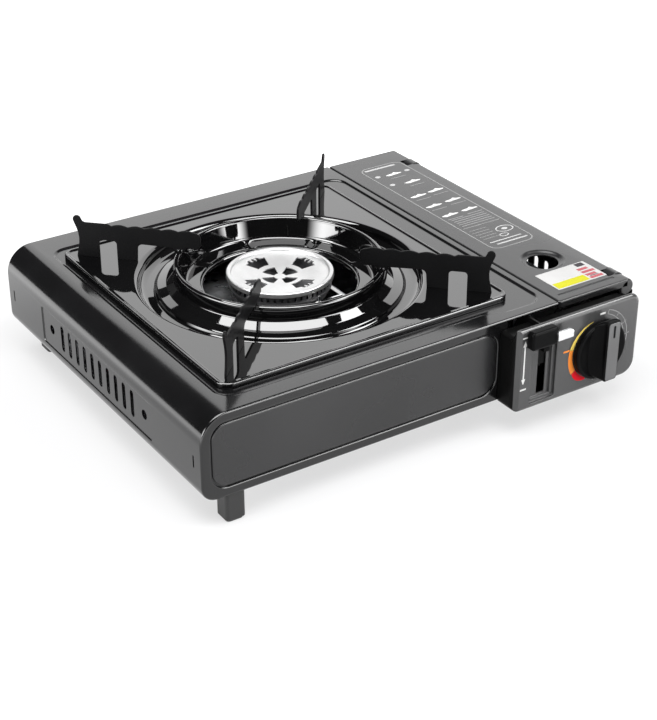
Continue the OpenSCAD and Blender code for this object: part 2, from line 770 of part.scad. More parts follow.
tube_start = 34;
module mixing_tube() {
    throat = tube_r - 1.6;
    path = [[tube_len - tube_r - 2, tube_r], [110, tube_r], [78, throat], [tube_start + 12, throat],
            [tube_start + 5, throat + 1], [tube_start, tube_r + 1]];
    inner = [for (i = [len(path) - 1 : -1 : 0]) path[i] - [0, sheet_t]];
    color("#b4b6b8") gas_line() rotate([0, 90, 0]) rotate_extrude()
        polygon([for (p = concat(path, inner)) [p[1], p[0]]]);
}

module air_collar() {
    throat = tube_r - 1.6;
    color("#c2c4c6") gas_line() rotate([0, 90, 0]) translate([0, 0, tube_start + 14])
        difference() {
            cylinder(h = 13, r = throat + 1.2);
            translate([0, 0, -1]) cylinder(h = 15, r = throat + run_c);
            translate([0, -2.5, 3]) cube([20, 5, 7]);
        }
}

jet_r = 3.2;
jet_start = 7;
jet_len = 24;
jet_tip = 5;
module gas_jet() {
    color("#c9a24a") gas_line() rotate([0, 90, 0]) difference() {
        union() {
            translate([0, 0, jet_start]) cylinder(h = jet_len - jet_tip, r = jet_r);
            translate([0, 0, 2 * valve_r]) cylinder(h = 5, r = 6, $fn = 6);
            translate([0, 0, jet_start + jet_len - jet_tip])
                cylinder(h = jet_tip, r1 = jet_r, r2 = jet_r / 2);
        }
        translate([0, 0, jet_start - 1]) cylinder(h = jet_len + 2, r = 0.6);
    }
}

holder_z = neck_top - 2;
holder_t = 1.4;     // sheet of the holder
arm_l = 26;         // length of its side arm
arm_w = 10;         // width of that arm
shield_w = 12;      // width of the plate turned up at the arm's end
shield_h = 11;      // height of that plate
module electrode_holder() {
    arm_x = electrode_x + arm_l;
    arm_y = electrode_y + arm_w;
    color("#d9dadb") difference() {
        union() {
            block(electrode_x - 5, electrode_x + 5, electrode_y - 5, burner_y, holder_z, holder_z + holder_t);
            block(electrode_x, arm_x, arm_y, arm_y + arm_w, holder_z, holder_z + holder_t);
            block(arm_x - shield_w, arm_x, arm_y, arm_y + holder_t, holder_z, holder_z + shield_h);
        }
        rod_z(burner_x, burner_y, holder_z - 1, holder_z + 3, neck_r);
        rod_z(electrode_x, electrode_y, holder_z - 1, holder_z + 3, 2.8 + run_c);
    }
}

module electrode_ceramic() {
    color("#f1efe9") difference() {
        union() {
            rod_z(electrode_x, electrode_y, holder_z - 5, holder_z + 16, 2.8);
            rod_z(electrode_x, electrode_y, holder_z + holder_t, holder_z + 4, 3.8);
        }
        rod_z(electrode_x, electrode_y, holder_z - 6, holder_z + 17, 0.8);
    }
}

module electrode_pin() {
    top = ring_z + 2.5;
    color("#9b9c9e") {
        rod_z(electrode_x, electrode_y, holder_z - 8, top + 1, 0.75);
        rod_y(electrode_x, top, electrode_y, electrode_y + 3.4, 0.6);
    }
}

// insulated lead from the igniter to the electrode, clipped along the base
lead_r = 1.2;
lead_path = [[274, -1.6, 50], [274, 4, 50], [273, 9, 48], [270, 17, 41], [264, 26, 38.6],
    [254, 33, 38.4], [243, 40, 34], [232, 47, 29], [220, 54, 26], [206, 62, 25.2], [192, 70, 25.2],
    [179, 78, 26], [168, 86, 29], [159, 93, 34], [153, 97.5, 40], [151.2, 99.7, 46], [151.03, 99.92, 53]];
module ignition_lead() {
    color("#a33327") sweep_tube(lead_path, lead_r, 8, [1, 1, 0]);
}

// ---- lid ----

module lid_profile() {
    difference() {
        translate([lid_left, top_z - lid_flange]) square([hinge_x - lid_left, lid_flange]);
        translate([lid_left + sheet_t, top_z - lid_flange - 1])
            square([hinge_x - lid_left, lid_flange + 1 - sheet_t]);
    }
    translate([hinge_x, hinge_z]) ring_sector(lid_round - sheet_t, lid_round, -40, 90);
}

module lid_dish() {
    r0 = window_rim_d / 2;
    r1 = window_d / 2;
    translate([window_x, window_y, top_z]) rotate_extrude(convexity = 4)
        polygon([[r0 + 0.5, 0], [r0, 0], [r1 + 1.6, -1.8], [r1, -1.8], [r1, -2.6],
                 [r1 + 1.8, -2.6], [r0 + 0.5, -sheet_t]]);
}
window_x = (lid_left + hinge_x) / 2 + 2;

module cartridge_lid() {
    color("#333436") {
        difference() {
            union() {
                along_y(lid_inset, body_d - lid_inset) lid_profile();
                for (y = [lid_inset, body_d - lid_inset - sheet_t]) {
                    block(lid_left, hinge_x, y, y + sheet_t, top_z - lid_flange, top_z - eps);
                    rod_y(hinge_x, hinge_z, y, y + sheet_t, lid_round - 0.4);
                }
                for (y = knuckle_ys) for (e = [y - 1.8, y + knuckle_l + 0.6])
                    rod_y(hinge_x, hinge_z, e, e + 1.2, lid_round - 0.4);
            }
            rod_z(window_x, window_y, top_z - 3, top_z + 1, window_rim_d / 2 + 0.2);
            for (y = knuckle_ys) {
                block(hinge_x - knuckle_r - 1.4, body_w + 1, y - touch, y + knuckle_l + touch,
                      hinge_z - 10, top_z + 1);
                rod_y(hinge_x, hinge_z, y - 4, y + knuckle_l + 4, pin_d / 2 + run_c);
            }
        }
        lid_dish();
    }
}
lid_inset = 0.4;

module lid_catch() {
    y = body_d / 2;
    x = lid_left + sheet_t;
    color("#b9bbbd") {
        block(x, x + 0.6, y - 7, y + 7, top_z - 11, top_z - sheet_t);
        rod_y(x + 0.9, top_z - 10.2, y - 7, y + 7, 0.8);
    }
}

label_in = 11.4;    // distance of the sticker from the lid's left edge
module lid_label() {
    x = lid_left + label_in;
    color("#f2f2ee") block(x, x + label_w, label_front, label_front + label_l, top_z, top_z + 0.15);
}

module hinge(y) {
    color("#2b2c2e") difference() {
        union() {
            rod_y(hinge_x, hinge_z, y, y + knuckle_l, knuckle_r);
            block(body_w - 2 * sheet_t, body_w - sheet_t, y, y + knuckle_l, hinge_z - 14, hinge_z);
        }
        rod_y(hinge_x, hinge_z, y - 1, y + knuckle_l + 1, pin_d / 2 + run_c);
        block(body_w - sheet_t, body_w + 2, y - 1, y + knuckle_l + 1, hinge_z - 15, wall_top + touch);
    }
}
module hinge_front() { hinge(knuckle_ys[0]); }
module hinge_rear() { hinge(knuckle_ys[1]); }

module hinge_pins() {
    color("#c5c7c9") for (y = knuckle_ys)
        rod_y(hinge_x, hinge_z, y - 3, y + knuckle_l + 3, pin_d / 2);
}

// ---- control box ----

module cover_body(i) {
    c = box_chamfer + 0.41 * i;
    intersection() {
        along_y(face_y + i, 0) corners(box_left + i, box_bottom + i, box_right - i,
            top_z - 0.4 + (i > 0 ? 3 : 0), 5, box_round - i, 8 - i, 3);
        along_z(0, top_z + 10) polygon([[box_left + i, 5], [box_left + i, face_y + c],
            [box_left + c, face_y + i], [box_right - i, face_y + i], [box_right - i, 5]]);
    }
}

cover_screw_xs = [box_left + 40, box_right - 20];
cover_screw_y = face_y + 8;
recess_z0 = box_bottom + 4;
recess_z1 = top_z - 6.5;
recess_x0 = lever_x - recess_lever_w / 2 - 1;

module control_cover() {
    color("#343538") difference() {
        cover_body(0);
        difference() {
            cover_body(box_t);
            block(box_left, box_right, face_y, face_y + box_flange, top_z - 0.4 - box_t, top_z + 9);
        }
        for (x = cover_screw_xs) rod_z(x, cover_screw_y, box_bottom - 1, box_bottom + 2, 1.5 + run_c);
        block(recess_x0, recess_x0 + recess_lever_w, face_y - 1, guide_y + 1, recess_z0, recess_z1);
        rod_y(knob_x, knob_z, face_y - 1, face_y + 5, spindle_d / 2 + 1);
    }
}

module lever_guide() {
    x0 = recess_x0 - 0.6;
    x1 = recess_x0 + recess_lever_w + 0.6;
    color("#2a2b2d") difference() {
        union() {
            block(x0 - 4, x1 + 3, guide_y, guide_y + 0.8, box_bottom + box_t + touch, recess_z1 + 3);
            block(x0, x1, guide_y, guide_y + guide_depth, recess_z0 - 0.6, recess_z1 + 0.6);
        }
        block(x0 + 0.6, x1 - 0.6, guide_y - 1, guide_y + guide_depth - 0.8, recess_z0, recess_z1);
        block(lever_x - slot_w / 2, lever_x + slot_w / 2, guide_y, guide_y + 5,
              recess_z0 + 5, recess_z1 - 3);
    }
}

// the plate that carries the valve and the igniter, with a tab turned forwards under them
module control_bracket() {
    tab_z = box_bottom + box_t;
    tab_x0 = box_left + 9;
    tab_x1 = box_right - box_round - 1;
    color("#a7aaad") difference() {
        union() {
            along_y(bracket_y, bracket_back) intersection() {
                shell_outline(sheet_t + touch);
                translate([panel_w, floor_z]) square([body_w - panel_w, curl_under - 1 - floor_z]);
            }
            block(tab_x0, tab_x1, bracket_y, bracket_back, tab_z, floor_z + eps);
            block(tab_x0, tab_x1, cover_screw_y - 6, bracket_back, tab_z, tab_z + 1);
        }
        rod_y(knob_x, knob_z, 0, 5, valve_r + run_c);
        block(lever_x - 1.8, lever_x + 0.4, 0, 5, floor_z + touch, top_z);
        rod_y(lead_path[0][0], lead_path[0][2], 0, 5, 2.5);
        for (x = cover_screw_xs) rod_z(x, cover_screw_y, tab_z - 1, tab_z + 2, 1.5 + run_c);
    }
}

// ---- lever, slide and fork ----

head_rise = 17;     // top of the lever's head above its neck's underside
head_w = 22;        // width of the head
head_h = 13;        // height of the head
head_out = 11;      // how far it stands in front of the cover
tab_out = 17;       // how far the head's tab reaches to the right of the slot
tab_h = 7;          // height of the tab
lever_top = neck_z + head_rise;
module lever_head() {
    x0 = lever_x - 15;
    y0 = face_y - head_out;
    y1 = face_y - 0.6;
    color("#121213") {
        along_z(lever_top - head_h, lever_top) rounded(x0, y0, x0 + head_w, y1, 3);
        along_z(lever_top - 5 - tab_h, lever_top - 5)
            rounded(lever_x, y0 + 3, lever_x + tab_out, y1 - 1, 1.5);
        block(lever_x - slot_w / 2 + 0.6, lever_x + slot_w / 2 - 0.6, y1 - 1, slide_y, neck_z, neck_z + 9);
    }
}

// slanted slot that draws the fork forwards by fork_travel while the lever drops by lever_travel
module link_slot() {
    lean = fork_travel / lever_travel;
    reach = link_pin_r + touch;
    half = reach * sqrt(1 + lean * lean);
    polygon([for (p = [[-half, -reach], [half, -reach], [half, lever_travel + reach],
                       [-half, lever_travel + reach]])
        [link_y + p[0] - lean * p[1], link_z + p[1]]]);
}

plate_w = 18;       // width of the slide's plate behind the guide
plate_h = 26;       // its height
module lever_slide() {
    color("#b9bbbd") {
        block(lever_x - plate_w / 2, lever_x + plate_w / 2, slide_y, slide_y + 1.2,
              neck_z - 12, neck_z - 12 + plate_h);
        along_x(lever_x - 1.4, lever_x) difference() {
            translate([slide_y, link_z - 4])
                square([link_y + 4.5 - slide_y, lever_travel + 8]);
            link_slot();
        }
    }
}

fork_x = lever_x - 4.6;
module cartridge_fork() {
    notch_r = can_d / 4;
    color("#b0b2b4") {
        difference() {
            block(tray_left + 8, body_w - 9, fork_y, fork_y + 1.5, floor_z + touch, can_z + 12);
            rod_y(tray_x, can_z, fork_y - 1, fork_y + 3, notch_r);
            block(tray_x - notch_r, tray_x + notch_r, fork_y - 1, fork_y + 3, can_z, can_z + 20);
        }
        block(fork_x, tray_left + 8 + eps, fork_y, fork_y + 1.5, floor_z + touch, floor_z + 9);
        block(fork_x, fork_x + 1.5, link_y - 4, fork_y + eps, floor_z + touch, floor_z + 9);
        block(fork_x, fork_x + 1.5, link_y - 4, link_y + 4, floor_z + touch, link_z + 4);
        rod_x(link_y, link_z, fork_x, lever_x + 2, link_pin_r);
    }
}

module fork_spring() {
    color("#c9cacc") coil_y(fork_x + 0.2, floor_z + 4.5, bracket_back, link_y - 4, 2, 0.4, 7);
}

// ---- regulator and valve ----

drum_l = 20;        // length of the regulator's drum
nozzle_l = 7;       // length of the collar that meets the cartridge
nozzle_r = 11;      // radius of that collar
pedestal_w = 16;    // width of the block under the drum
module regulator_body() {
    y0 = regulator_y + 7;
    y1 = y0 + drum_l;
    half = pedestal_w / 2;
    color("#a2a4a6") difference() {
        union() {
            rod_y(tray_x, can_z, y0, y1, regulator_r);
            rod_y(tray_x, can_z, y1, y1 + nozzle_l, nozzle_r);
            block(tray_x - half, tray_x + half, y0, y1, floor_z, can_z - 10);
        }
        rod_y(tray_x, can_z, y0 - 1, y0 + 7, regulator_r - 4);
        rod_y(tray_x, can_z, y1 - 8, y1 + nozzle_l + 1, 6.5);
        screw_holes(y0 - 1, y0 + 6, 1.4 + run_c);
    }
}
screw_n = 4;
// the valve lies midway between two of the screws
screw_turn = atan2(knob_z - can_z, knob_x - tray_x) + 180 / screw_n;
module screw_holes(y0, y1, r) {
    for (k = [0 : screw_n - 1]) {
        a = screw_turn + 360 * k / screw_n;
        rod_y(tray_x + (regulator_r - 2) * cos(a), can_z + (regulator_r - 2) * sin(a), y0, y1, r);
    }
}

module regulator_cover() {
    y0 = regulator_y;
    color("#b7b9bb") difference() {
        union() {
            rod_y(tray_x, can_z, y0 + 3, y0 + 6, regulator_r);
            rod_y(tray_x, can_z, y0, y0 + 4, regulator_r - 6);
        }
        rod_y(tray_x, can_z, y0 + 1.2, y0 + 7, regulator_r - 8);
        screw_holes(y0 - 1, y0 + 7, 1.4 + run_c);
    }
}

module regulator_diaphragm() {
    y0 = regulator_y + 6;
    color("#3a3a38") difference() {
        rod_y(tray_x, can_z, y0, y0 + 1, regulator_r);
        screw_holes(y0 - 1, y0 + 2, 1.4 + run_c);
    }
}

module regulator_spring() {
    color("#c9cacc") coil_y(tray_x, can_z, regulator_y + 1.2, regulator_y + 6, 7, 0.5, 3);
}

module regulator_screws() {
    color("#cfd0d2") {
        screw_holes(regulator_y + 3 - eps, regulator_y + 12, 1.4);
        screw_holes(regulator_y + 1.6, regulator_y + 3, 1.9);
    }
}

module inlet_seal() {
    color("#20201f") translate([tray_x, regulator_y + drum_l + 0.6, can_z]) rotate([-90, 0, 0])
        rotate_extrude() translate([4.8, 0]) circle(1.6);
}

module valve_body() {
    color("#8f9193") difference() {
        union() {
            rod_y(knob_x, knob_z, -2, regulator_y + 3, valve_r);
            rod_y(knob_x, knob_z, -2, bracket_y, valve_r + 3);
        }
        rod_y(knob_x, knob_z, -3, regulator_y, spindle_d / 2 + run_c);
        gas_line() rotate([0, 90, 0]) {
            cylinder(h = jet_start, r = 0.8);
            translate([0, 0, jet_start - touch]) cylinder(h = 2 * valve_r, r = jet_r + run_c);
        }
        rod_y(tray_x, can_z, regulator_y, regulator_y + 10, regulator_r - 6);
    }
}

// ---- knob, spindle and igniter ----

module valve_spindle() {
    color("#c9a24a") rod_y(knob_x, knob_z, knob_front + 6, regulator_y - 1, spindle_d / 2);
}

module control_knob() {
    base = 4.5;
    color("#101011") difference() {
        union() {
            rod_y(knob_x, knob_z, knob_back - base, knob_back, knob_r);
            intersection() {
                along_z(knob_z - knob_r, knob_z + knob_r) translate([knob_x, 0])
                    polygon([[-grip_w, knob_back - base + eps], [grip_w, knob_back - base + eps],
                             [grip_w / 2, knob_front], [-grip_w / 2, knob_front]]);
                rod_y(knob_x, knob_z, knob_front, knob_back, knob_r);
            }
        }
        rod_y(knob_x, knob_z, knob_front + 6, knob_back + 1, spindle_d / 2);
    }
}

cam_y = -9;
cam_t = 4;
module ignition_cam() {
    side = 180 - knob_turn;
    color("#e3ddcf") difference() {
        along_y(cam_y, cam_y + cam_t) translate([knob_x, knob_z]) polygon(concat(
            [for (i = [0 : 16]) let (a = side + knob_turn * i / 16,
                                     r = cam_r + plunger_stroke * (180 - a) / knob_turn)
                [r * cos(a), r * sin(a)]],
            [for (i = [1 : 17]) let (a = 180 + (180 + side) * i / 18) [cam_r * cos(a), cam_r * sin(a)]]));
        rod_y(knob_x, knob_z, cam_y - 1, cam_y + cam_t + 1, spindle_d / 2);
    }
}

plunger_tip = knob_x - cam_r - 0.4;
igniter_x1 = plunger_tip - plunger_stroke - 1;
igniter_x0 = igniter_x1 - 22;
plunger_y = cam_y + cam_t / 2;
module piezo_igniter() {
    color("#2b3a55") difference() {
        block(igniter_x0, igniter_x1, plunger_y - 5.5, plunger_y + 5.4, knob_z - 6, knob_z + 6);
        rod_x(plunger_y, knob_z, igniter_x0 + 2, igniter_x1 + 1, plunger_d / 2 + run_c);
    }
    color("#2b3a55")
        block(igniter_x0 + 4, igniter_x1 - 4, plunger_y + 5.4 - eps, bracket_y, knob_z + 1.6, knob_z + 6);
}

module piezo_plunger() {
    color("#d9c24a")
        rod_x(plunger_y, knob_z, igniter_x0 + 3 + plunger_stroke, plunger_tip, plunger_d / 2);
}

module cover_screws() {
    color("#8a8c8e") for (x = cover_screw_xs) {
        rod_z(x, cover_screw_y, box_bottom - 0.9, box_bottom, 2.8);
        rod_z(x, cover_screw_y, box_bottom - eps, box_bottom + 4, 1.5);
    }
}

home() outer_shell();
home() front_panel();
home() rear_panel();
home() base_plate();
home() heat_partition();
home() cartridge_tray();
home() foot_front_left();
home() foot_front_right();
home() foot_rear_left();
home() foot_rear_right();
home() drip_pan();
home() pot_support_front_left();
home() pot_support_front_right();
home() pot_support_rear_left();
home() pot_support_rear_right();
home() burner_cap();
home() flame_ring();
home() burner_body();
home() burner_bracket();
home() mixing_tube();
home() air_collar();
home() gas_jet();
home() electrode_holder();
home() electrode_ceramic();
home() electrode_pin();
home() ignition_lead();
home() cartridge_lid();
home() lid_catch();
home() lid_label();
home() hinge_front();
home() hinge_rear();
home() hinge_pins();
home() control_cover();
home() control_bracket();
home() lever_guide();
home() lever_head();
home() lever_slide();
home() cartridge_fork();
home() fork_spring();
home() regulator_body();
home() regulator_cover();
home() regulator_diaphragm();
home() regulator_spring();
home() regulator_screws();
home() valve_body();
home() inlet_seal();
home() valve_spindle();
home() control_knob();
home() ignition_cam();
home() piezo_igniter();
home() piezo_plunger();
home() cover_screws();
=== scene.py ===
"""Portable cassette gas stove: finishes and pressed-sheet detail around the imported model.

Lengths are millimetres in body coordinates: x from the left wall, y from the front edge of the
body, z from the floor. place() turns them into the frame's metres.
"""
import json
import math

import bmesh
import bpy
from mathutils import Matrix, Vector
from mathutils.geometry import tessellate_polygon

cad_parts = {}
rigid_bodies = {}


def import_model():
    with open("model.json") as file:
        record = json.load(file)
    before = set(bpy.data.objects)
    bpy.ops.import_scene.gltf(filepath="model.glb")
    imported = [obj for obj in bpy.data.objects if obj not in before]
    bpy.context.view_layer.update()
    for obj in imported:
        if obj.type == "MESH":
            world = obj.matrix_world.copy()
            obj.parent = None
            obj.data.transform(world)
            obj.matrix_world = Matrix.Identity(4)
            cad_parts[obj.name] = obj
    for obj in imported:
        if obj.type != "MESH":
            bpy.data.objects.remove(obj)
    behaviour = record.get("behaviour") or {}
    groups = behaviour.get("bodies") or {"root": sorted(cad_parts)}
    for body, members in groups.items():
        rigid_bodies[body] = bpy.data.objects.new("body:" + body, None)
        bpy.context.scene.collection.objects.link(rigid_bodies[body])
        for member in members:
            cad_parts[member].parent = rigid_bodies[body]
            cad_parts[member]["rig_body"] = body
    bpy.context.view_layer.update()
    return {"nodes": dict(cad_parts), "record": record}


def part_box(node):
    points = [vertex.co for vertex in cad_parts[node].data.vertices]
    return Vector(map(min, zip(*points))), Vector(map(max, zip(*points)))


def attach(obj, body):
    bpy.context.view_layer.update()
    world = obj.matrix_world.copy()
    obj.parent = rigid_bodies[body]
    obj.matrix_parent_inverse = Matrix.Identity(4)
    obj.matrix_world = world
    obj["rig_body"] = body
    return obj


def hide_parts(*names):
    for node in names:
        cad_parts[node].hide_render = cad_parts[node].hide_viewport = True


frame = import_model()

MM = 0.001
SHELL_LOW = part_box("outer_shell")[0]


def place(x, y, z):
    """A point in body coordinates, as metres in the frame."""
    return Vector((SHELL_LOW.x + x * MM, SHELL_LOW.y + y * MM, z * MM))


def linked(name, data):
    """A new object in the scene."""
    made = bpy.data.objects.new(name, data)
    bpy.context.scene.collection.objects.link(made)
    return made


def mesh_from(name, builder):
    """Mesh data from a bmesh, which is freed."""
    mesh = bpy.data.meshes.new(name)
    builder.to_mesh(mesh)
    builder.free()
    return mesh


# ---- materials ----

FINISHES = {}               # by name: the record's slots, the inks and other paints
PEEL_HEIGHT = 0.0002        # heights of the bumps, in metres
GRAIN_HEIGHT = 0.0001
WHITE = (1, 1, 1, 1)


def new_material(name):
    """A node material, kept in FINISHES; returns its tree and Principled shader."""
    material = bpy.data.materials.new(name)
    FINISHES[name] = material
    material.use_nodes = True
    tree = material.node_tree
    return tree, tree.nodes["Principled BSDF"]


def preset(made, **inputs):
    """Sets a node's input sockets by name; underscores stand for spaces."""
    for key, value in inputs.items():
        made.inputs[key.replace("_", " ")].default_value = value
    return made


def node(tree, kind, **inputs):
    """A new node with its inputs set."""
    return preset(tree.nodes.new(kind), **inputs)


def located(tree, made):
    """Feeds a node's first input with the object's own coordinates, in metres."""
    coordinates = tree.nodes.new("ShaderNodeTexCoord")
    tree.links.new(coordinates.outputs["Object"], made.inputs[0])
    return made


def noise(tree, scale, detail=2.0, rough=0.5):
    """Noise in object space, scale in waves per metre."""
    made = node(tree, "ShaderNodeTexNoise", Scale=scale, Detail=detail, Roughness=rough)
    return located(tree, made).outputs["Fac"]


def remap(tree, source, low, high):
    """Maps the noise's middle range to low..high."""
    made = node(tree, "ShaderNodeMapRange", From_Min=0.3, From_Max=0.7, To_Min=low, To_Max=high)
    tree.links.new(source, made.inputs["Value"])
    return made.outputs["Result"]


def bump(tree, shader, height, strength, distance):
    """Bump from a height in the shader's normal."""
    made = node(tree, "ShaderNodeBump", Strength=strength, Distance=distance)
    tree.links.new(height, made.inputs["Height"])
    tree.links.new(made.outputs["Normal"], shader.inputs["Normal"])


def two_tones(tree, shader, factor, dark, light):
    """Base colour that wanders between two close tones."""
    mix = tree.nodes.new("ShaderNodeMix")
    mix.data_type = "RGBA"
    preset(mix, A=(*dark, 1), B=(*light, 1))
    tree.links.new(factor, mix.inputs["Factor"])
    tree.links.new(mix.outputs["Result"], shader.inputs["Base Color"])


def lighter(colour, factor, lift):
    """A close lighter tone."""
    return tuple(min(1.0, c * factor + lift) for c in colour)


FINE, CLOUD = 0, 1          # which of a finish's two noises its roughness follows


def textured(name, tones, noises, follows, rough, relief, **shading):
    """A finish in two close tones: a cloudy noise mixes them and a fine one is its relief."""
    tree, shader = new_material(name)
    waves = [noise(tree, *values) for values in noises]
    two_tones(tree, shader, remap(tree, waves[CLOUD], 0.0, 1.0), *tones)
    tree.links.new(remap(tree, waves[follows], *rough), shader.inputs["Roughness"])
    bump(tree, shader, waves[FINE], *relief)
    preset(shader, **shading)


def enamel(name, colour, rough, peel, peel_scale=260.0, ior=1.55):
    """Stove enamel or smooth paint: fine orange peel and a faint change of tone and gloss."""
    textured(name, (colour, lighter(colour, 1.25, 0.002)), ((peel_scale,), (14.0, 3.0)), CLOUD,
             (rough * 0.9, rough * 1.15), (peel, PEEL_HEIGHT), IOR=ior)


def metal(name, colour, rough, grain_scale, grain):
    """Bare or plated metal with a fine grain."""
    dark = tuple(c * 0.86 for c in colour)
    textured(name, (dark, colour), ((grain_scale, 4.0, 0.6), (40.0, 3.0)), FINE,
             (rough * 0.75, rough * 1.3), (grain, GRAIN_HEIGHT), Metallic=1.0)


def plastic(name, colour, rough, grain=0.12, grain_scale=1400.0, ior=1.5):
    """Moulded plastic, rubber or ink with a fine grain."""
    textured(name, (colour, lighter(colour, 1.2, 0.001)), ((grain_scale, 3.0), (30.0,)), CLOUD,
             (rough * 0.9, rough * 1.12), (grain, GRAIN_HEIGHT), IOR=ior)


def spangle(name, dark, light):
    """Galvanised sheet: zinc crystals of a few millimetres in close greys."""
    tree, shader = new_material(name)
    cells = located(tree, node(tree, "ShaderNodeTexVoronoi", Scale=190.0))
    split = tree.nodes.new("ShaderNodeSeparateColor")
    tree.links.new(cells.outputs["Color"], split.inputs["Color"])
    two_tones(tree, shader, split.outputs["Red"], dark, light)
    spread = node(tree, "ShaderNodeMapRange", To_Min=0.26, To_Max=0.46)
    tree.links.new(split.outputs["Green"], spread.inputs["Value"])
    tree.links.new(spread.outputs["Result"], shader.inputs["Roughness"])
    preset(shader, Metallic=1.0)
    bump(tree, shader, noise(tree, 900.0, 3.0), 0.15, GRAIN_HEIGHT)


enamel("shell_enamel", (0.0022, 0.0022, 0.0024), 0.14, 0.03)
enamel("front_enamel", (0.006, 0.006, 0.0064), 0.28, 0.05)
enamel("lid_enamel", (0.006, 0.006, 0.0064), 0.27, 0.05, ior=1.48)
enamel("pan_enamel", (0.0006, 0.0006, 0.0007), 0.035, 0.006, 90.0, 1.8)
enamel("support_enamel", (0.0035, 0.0035, 0.0037), 0.3, 0.1, 500.0, 1.12)
enamel("cover_paint", (0.026, 0.026, 0.0264), 0.22, 0.03, 600.0)
# near-black copy of the cover's paint: painted shade on the cover's sides and on parts seen through
# its gaps
enamel("shade_black_paint", (0.001, 0.001, 0.001), 0.3, 0.05, 600.0, 1.15)
spangle("galvanised", (0.42, 0.43, 0.45), (0.62, 0.63, 0.65))
metal("cap_aluminium", (0.64, 0.64, 0.64), 0.42, 900.0, 0.06)
metal("cast_aluminium", (0.2, 0.2, 0.205), 0.5, 500.0, 0.5)
metal("brass", (0.72, 0.5, 0.22), 0.28, 900.0, 0.1)
metal("bright_steel", (0.78, 0.79, 0.8), 0.22, 900.0, 0.08)
plastic("ceramic", (0.82, 0.81, 0.77), 0.16, 0.03)
plastic("lead_red", (0.42, 0.05, 0.03), 0.42, 0.08)
plastic("knob_plastic", (0.001, 0.001, 0.0011), 0.3, ior=1.14)
plastic("strip_satin", (0.06, 0.06, 0.061), 0.34, 0.05)
plastic("foot_rubber", (0.011, 0.011, 0.011), 0.5, 0.25, 900.0)
plastic("seal_rubber", (0.015, 0.015, 0.015), 0.6, 0.2, 900.0)
plastic("cam_plastic", (0.72, 0.68, 0.58), 0.4)
plastic("igniter_plastic", (0.02, 0.04, 0.1), 0.35)
plastic("plunger_plastic", (0.68, 0.5, 0.06), 0.35)
plastic("label_film", (0.26, 0.258, 0.255), 0.3, 0.03, ior=1.2)
plastic("ink_white", (0.4, 0.4, 0.395), 0.4, 0.04)
plastic("ink_grey", (0.12, 0.12, 0.12), 0.4, 0.04)
plastic("ink_pale", (0.24, 0.24, 0.24), 0.4, 0.04)
plastic("ink_yellow", (0.4, 0.3, 0.06), 0.4, 0.04, ior=1.2)
plastic("ink_orange", (0.46, 0.14, 0.02), 0.4, 0.04, ior=1.2)
plastic("ink_red", (0.4, 0.001, 0.008), 0.4, 0.04, ior=1.15)
plastic("label_yellow", (0.26, 0.25, 0.004), 0.3, 0.03, ior=1.15)
plastic("label_red", (0.2, 0.04, 0.048), 0.3, 0.03, ior=1.2)
plastic("label_dark", (0.01, 0.007, 0.01), 0.3, 0.03, ior=1.2)

SLOT_OF = {part["node"]: part["material_slot"] for part in frame["record"]["subparts"]}
BODY_OF = {name: piece["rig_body"] for name, piece in frame["nodes"].items()}

# CAD nodes that only show at gaps of the cover, repainted near black as painted shade instead of
# their slots' finishes
GAP_SHADE_FINISH = {"lever_slide": "shade_black_paint", "control_bracket": "front_enamel"}


def dress_cad_nodes():
    """Every CAD node gets the material of its slot in the record, except those repainted near black
    as painted shade at the cover's gaps.
    """
    for name, slot_name in SLOT_OF.items():
        mesh = frame["nodes"][name].data
        mesh.materials.clear()
        mesh.materials.append(FINISHES[GAP_SHADE_FINISH.get(name, slot_name)])


dress_cad_nodes()

# ---- meshes from loops of points in body coordinates ----

SHARP = math.radians(38)
MERGE = 2e-6                # points closer than this are one, in metres


def arc(cx, cy, radius, first, last, steps):
    """Points of an arc in a plane, angles in degrees."""
    points = []
    for i in range(steps + 1):
        angle = math.radians(first + (last - first) * i / steps)
        points.append((cx + radius * math.cos(angle), cy + radius * math.sin(angle)))
    return points


def ellipse(cx, cy, half_x, half_y, steps):
    """A closed ellipse, anticlockwise."""
    return [(cx + half_x * math.cos(math.tau * k / steps),
             cy + half_y * math.sin(math.tau * k / steps)) for k in range(steps)]


def rounded(x0, y0, x1, y1, radius, steps=10):
    """A rectangle with round corners, from its lower left corner, anticlockwise."""
    return (arc(x0 + radius, y0 + radius, radius, 180, 270, steps)
            + arc(x1 - radius, y0 + radius, radius, 270, 360, steps)
            + arc(x1 - radius, y1 - radius, radius, 0, 90, steps)
            + arc(x0 + radius, y1 - radius, radius, 90, 180, steps))


def grown(path, distance):
    """A closed plane path, anticlockwise, moved outwards along its normals."""
    made = []
    count = len(path)
    for i in range(count):
        ax, ay = path[i - 1]
        bx, by = path[(i + 1) % count]
        length = math.hypot(bx - ax, by - ay)
        made.append((path[i][0] + distance * (by - ay) / length,
                     path[i][1] - distance * (bx - ax) / length))
    return made


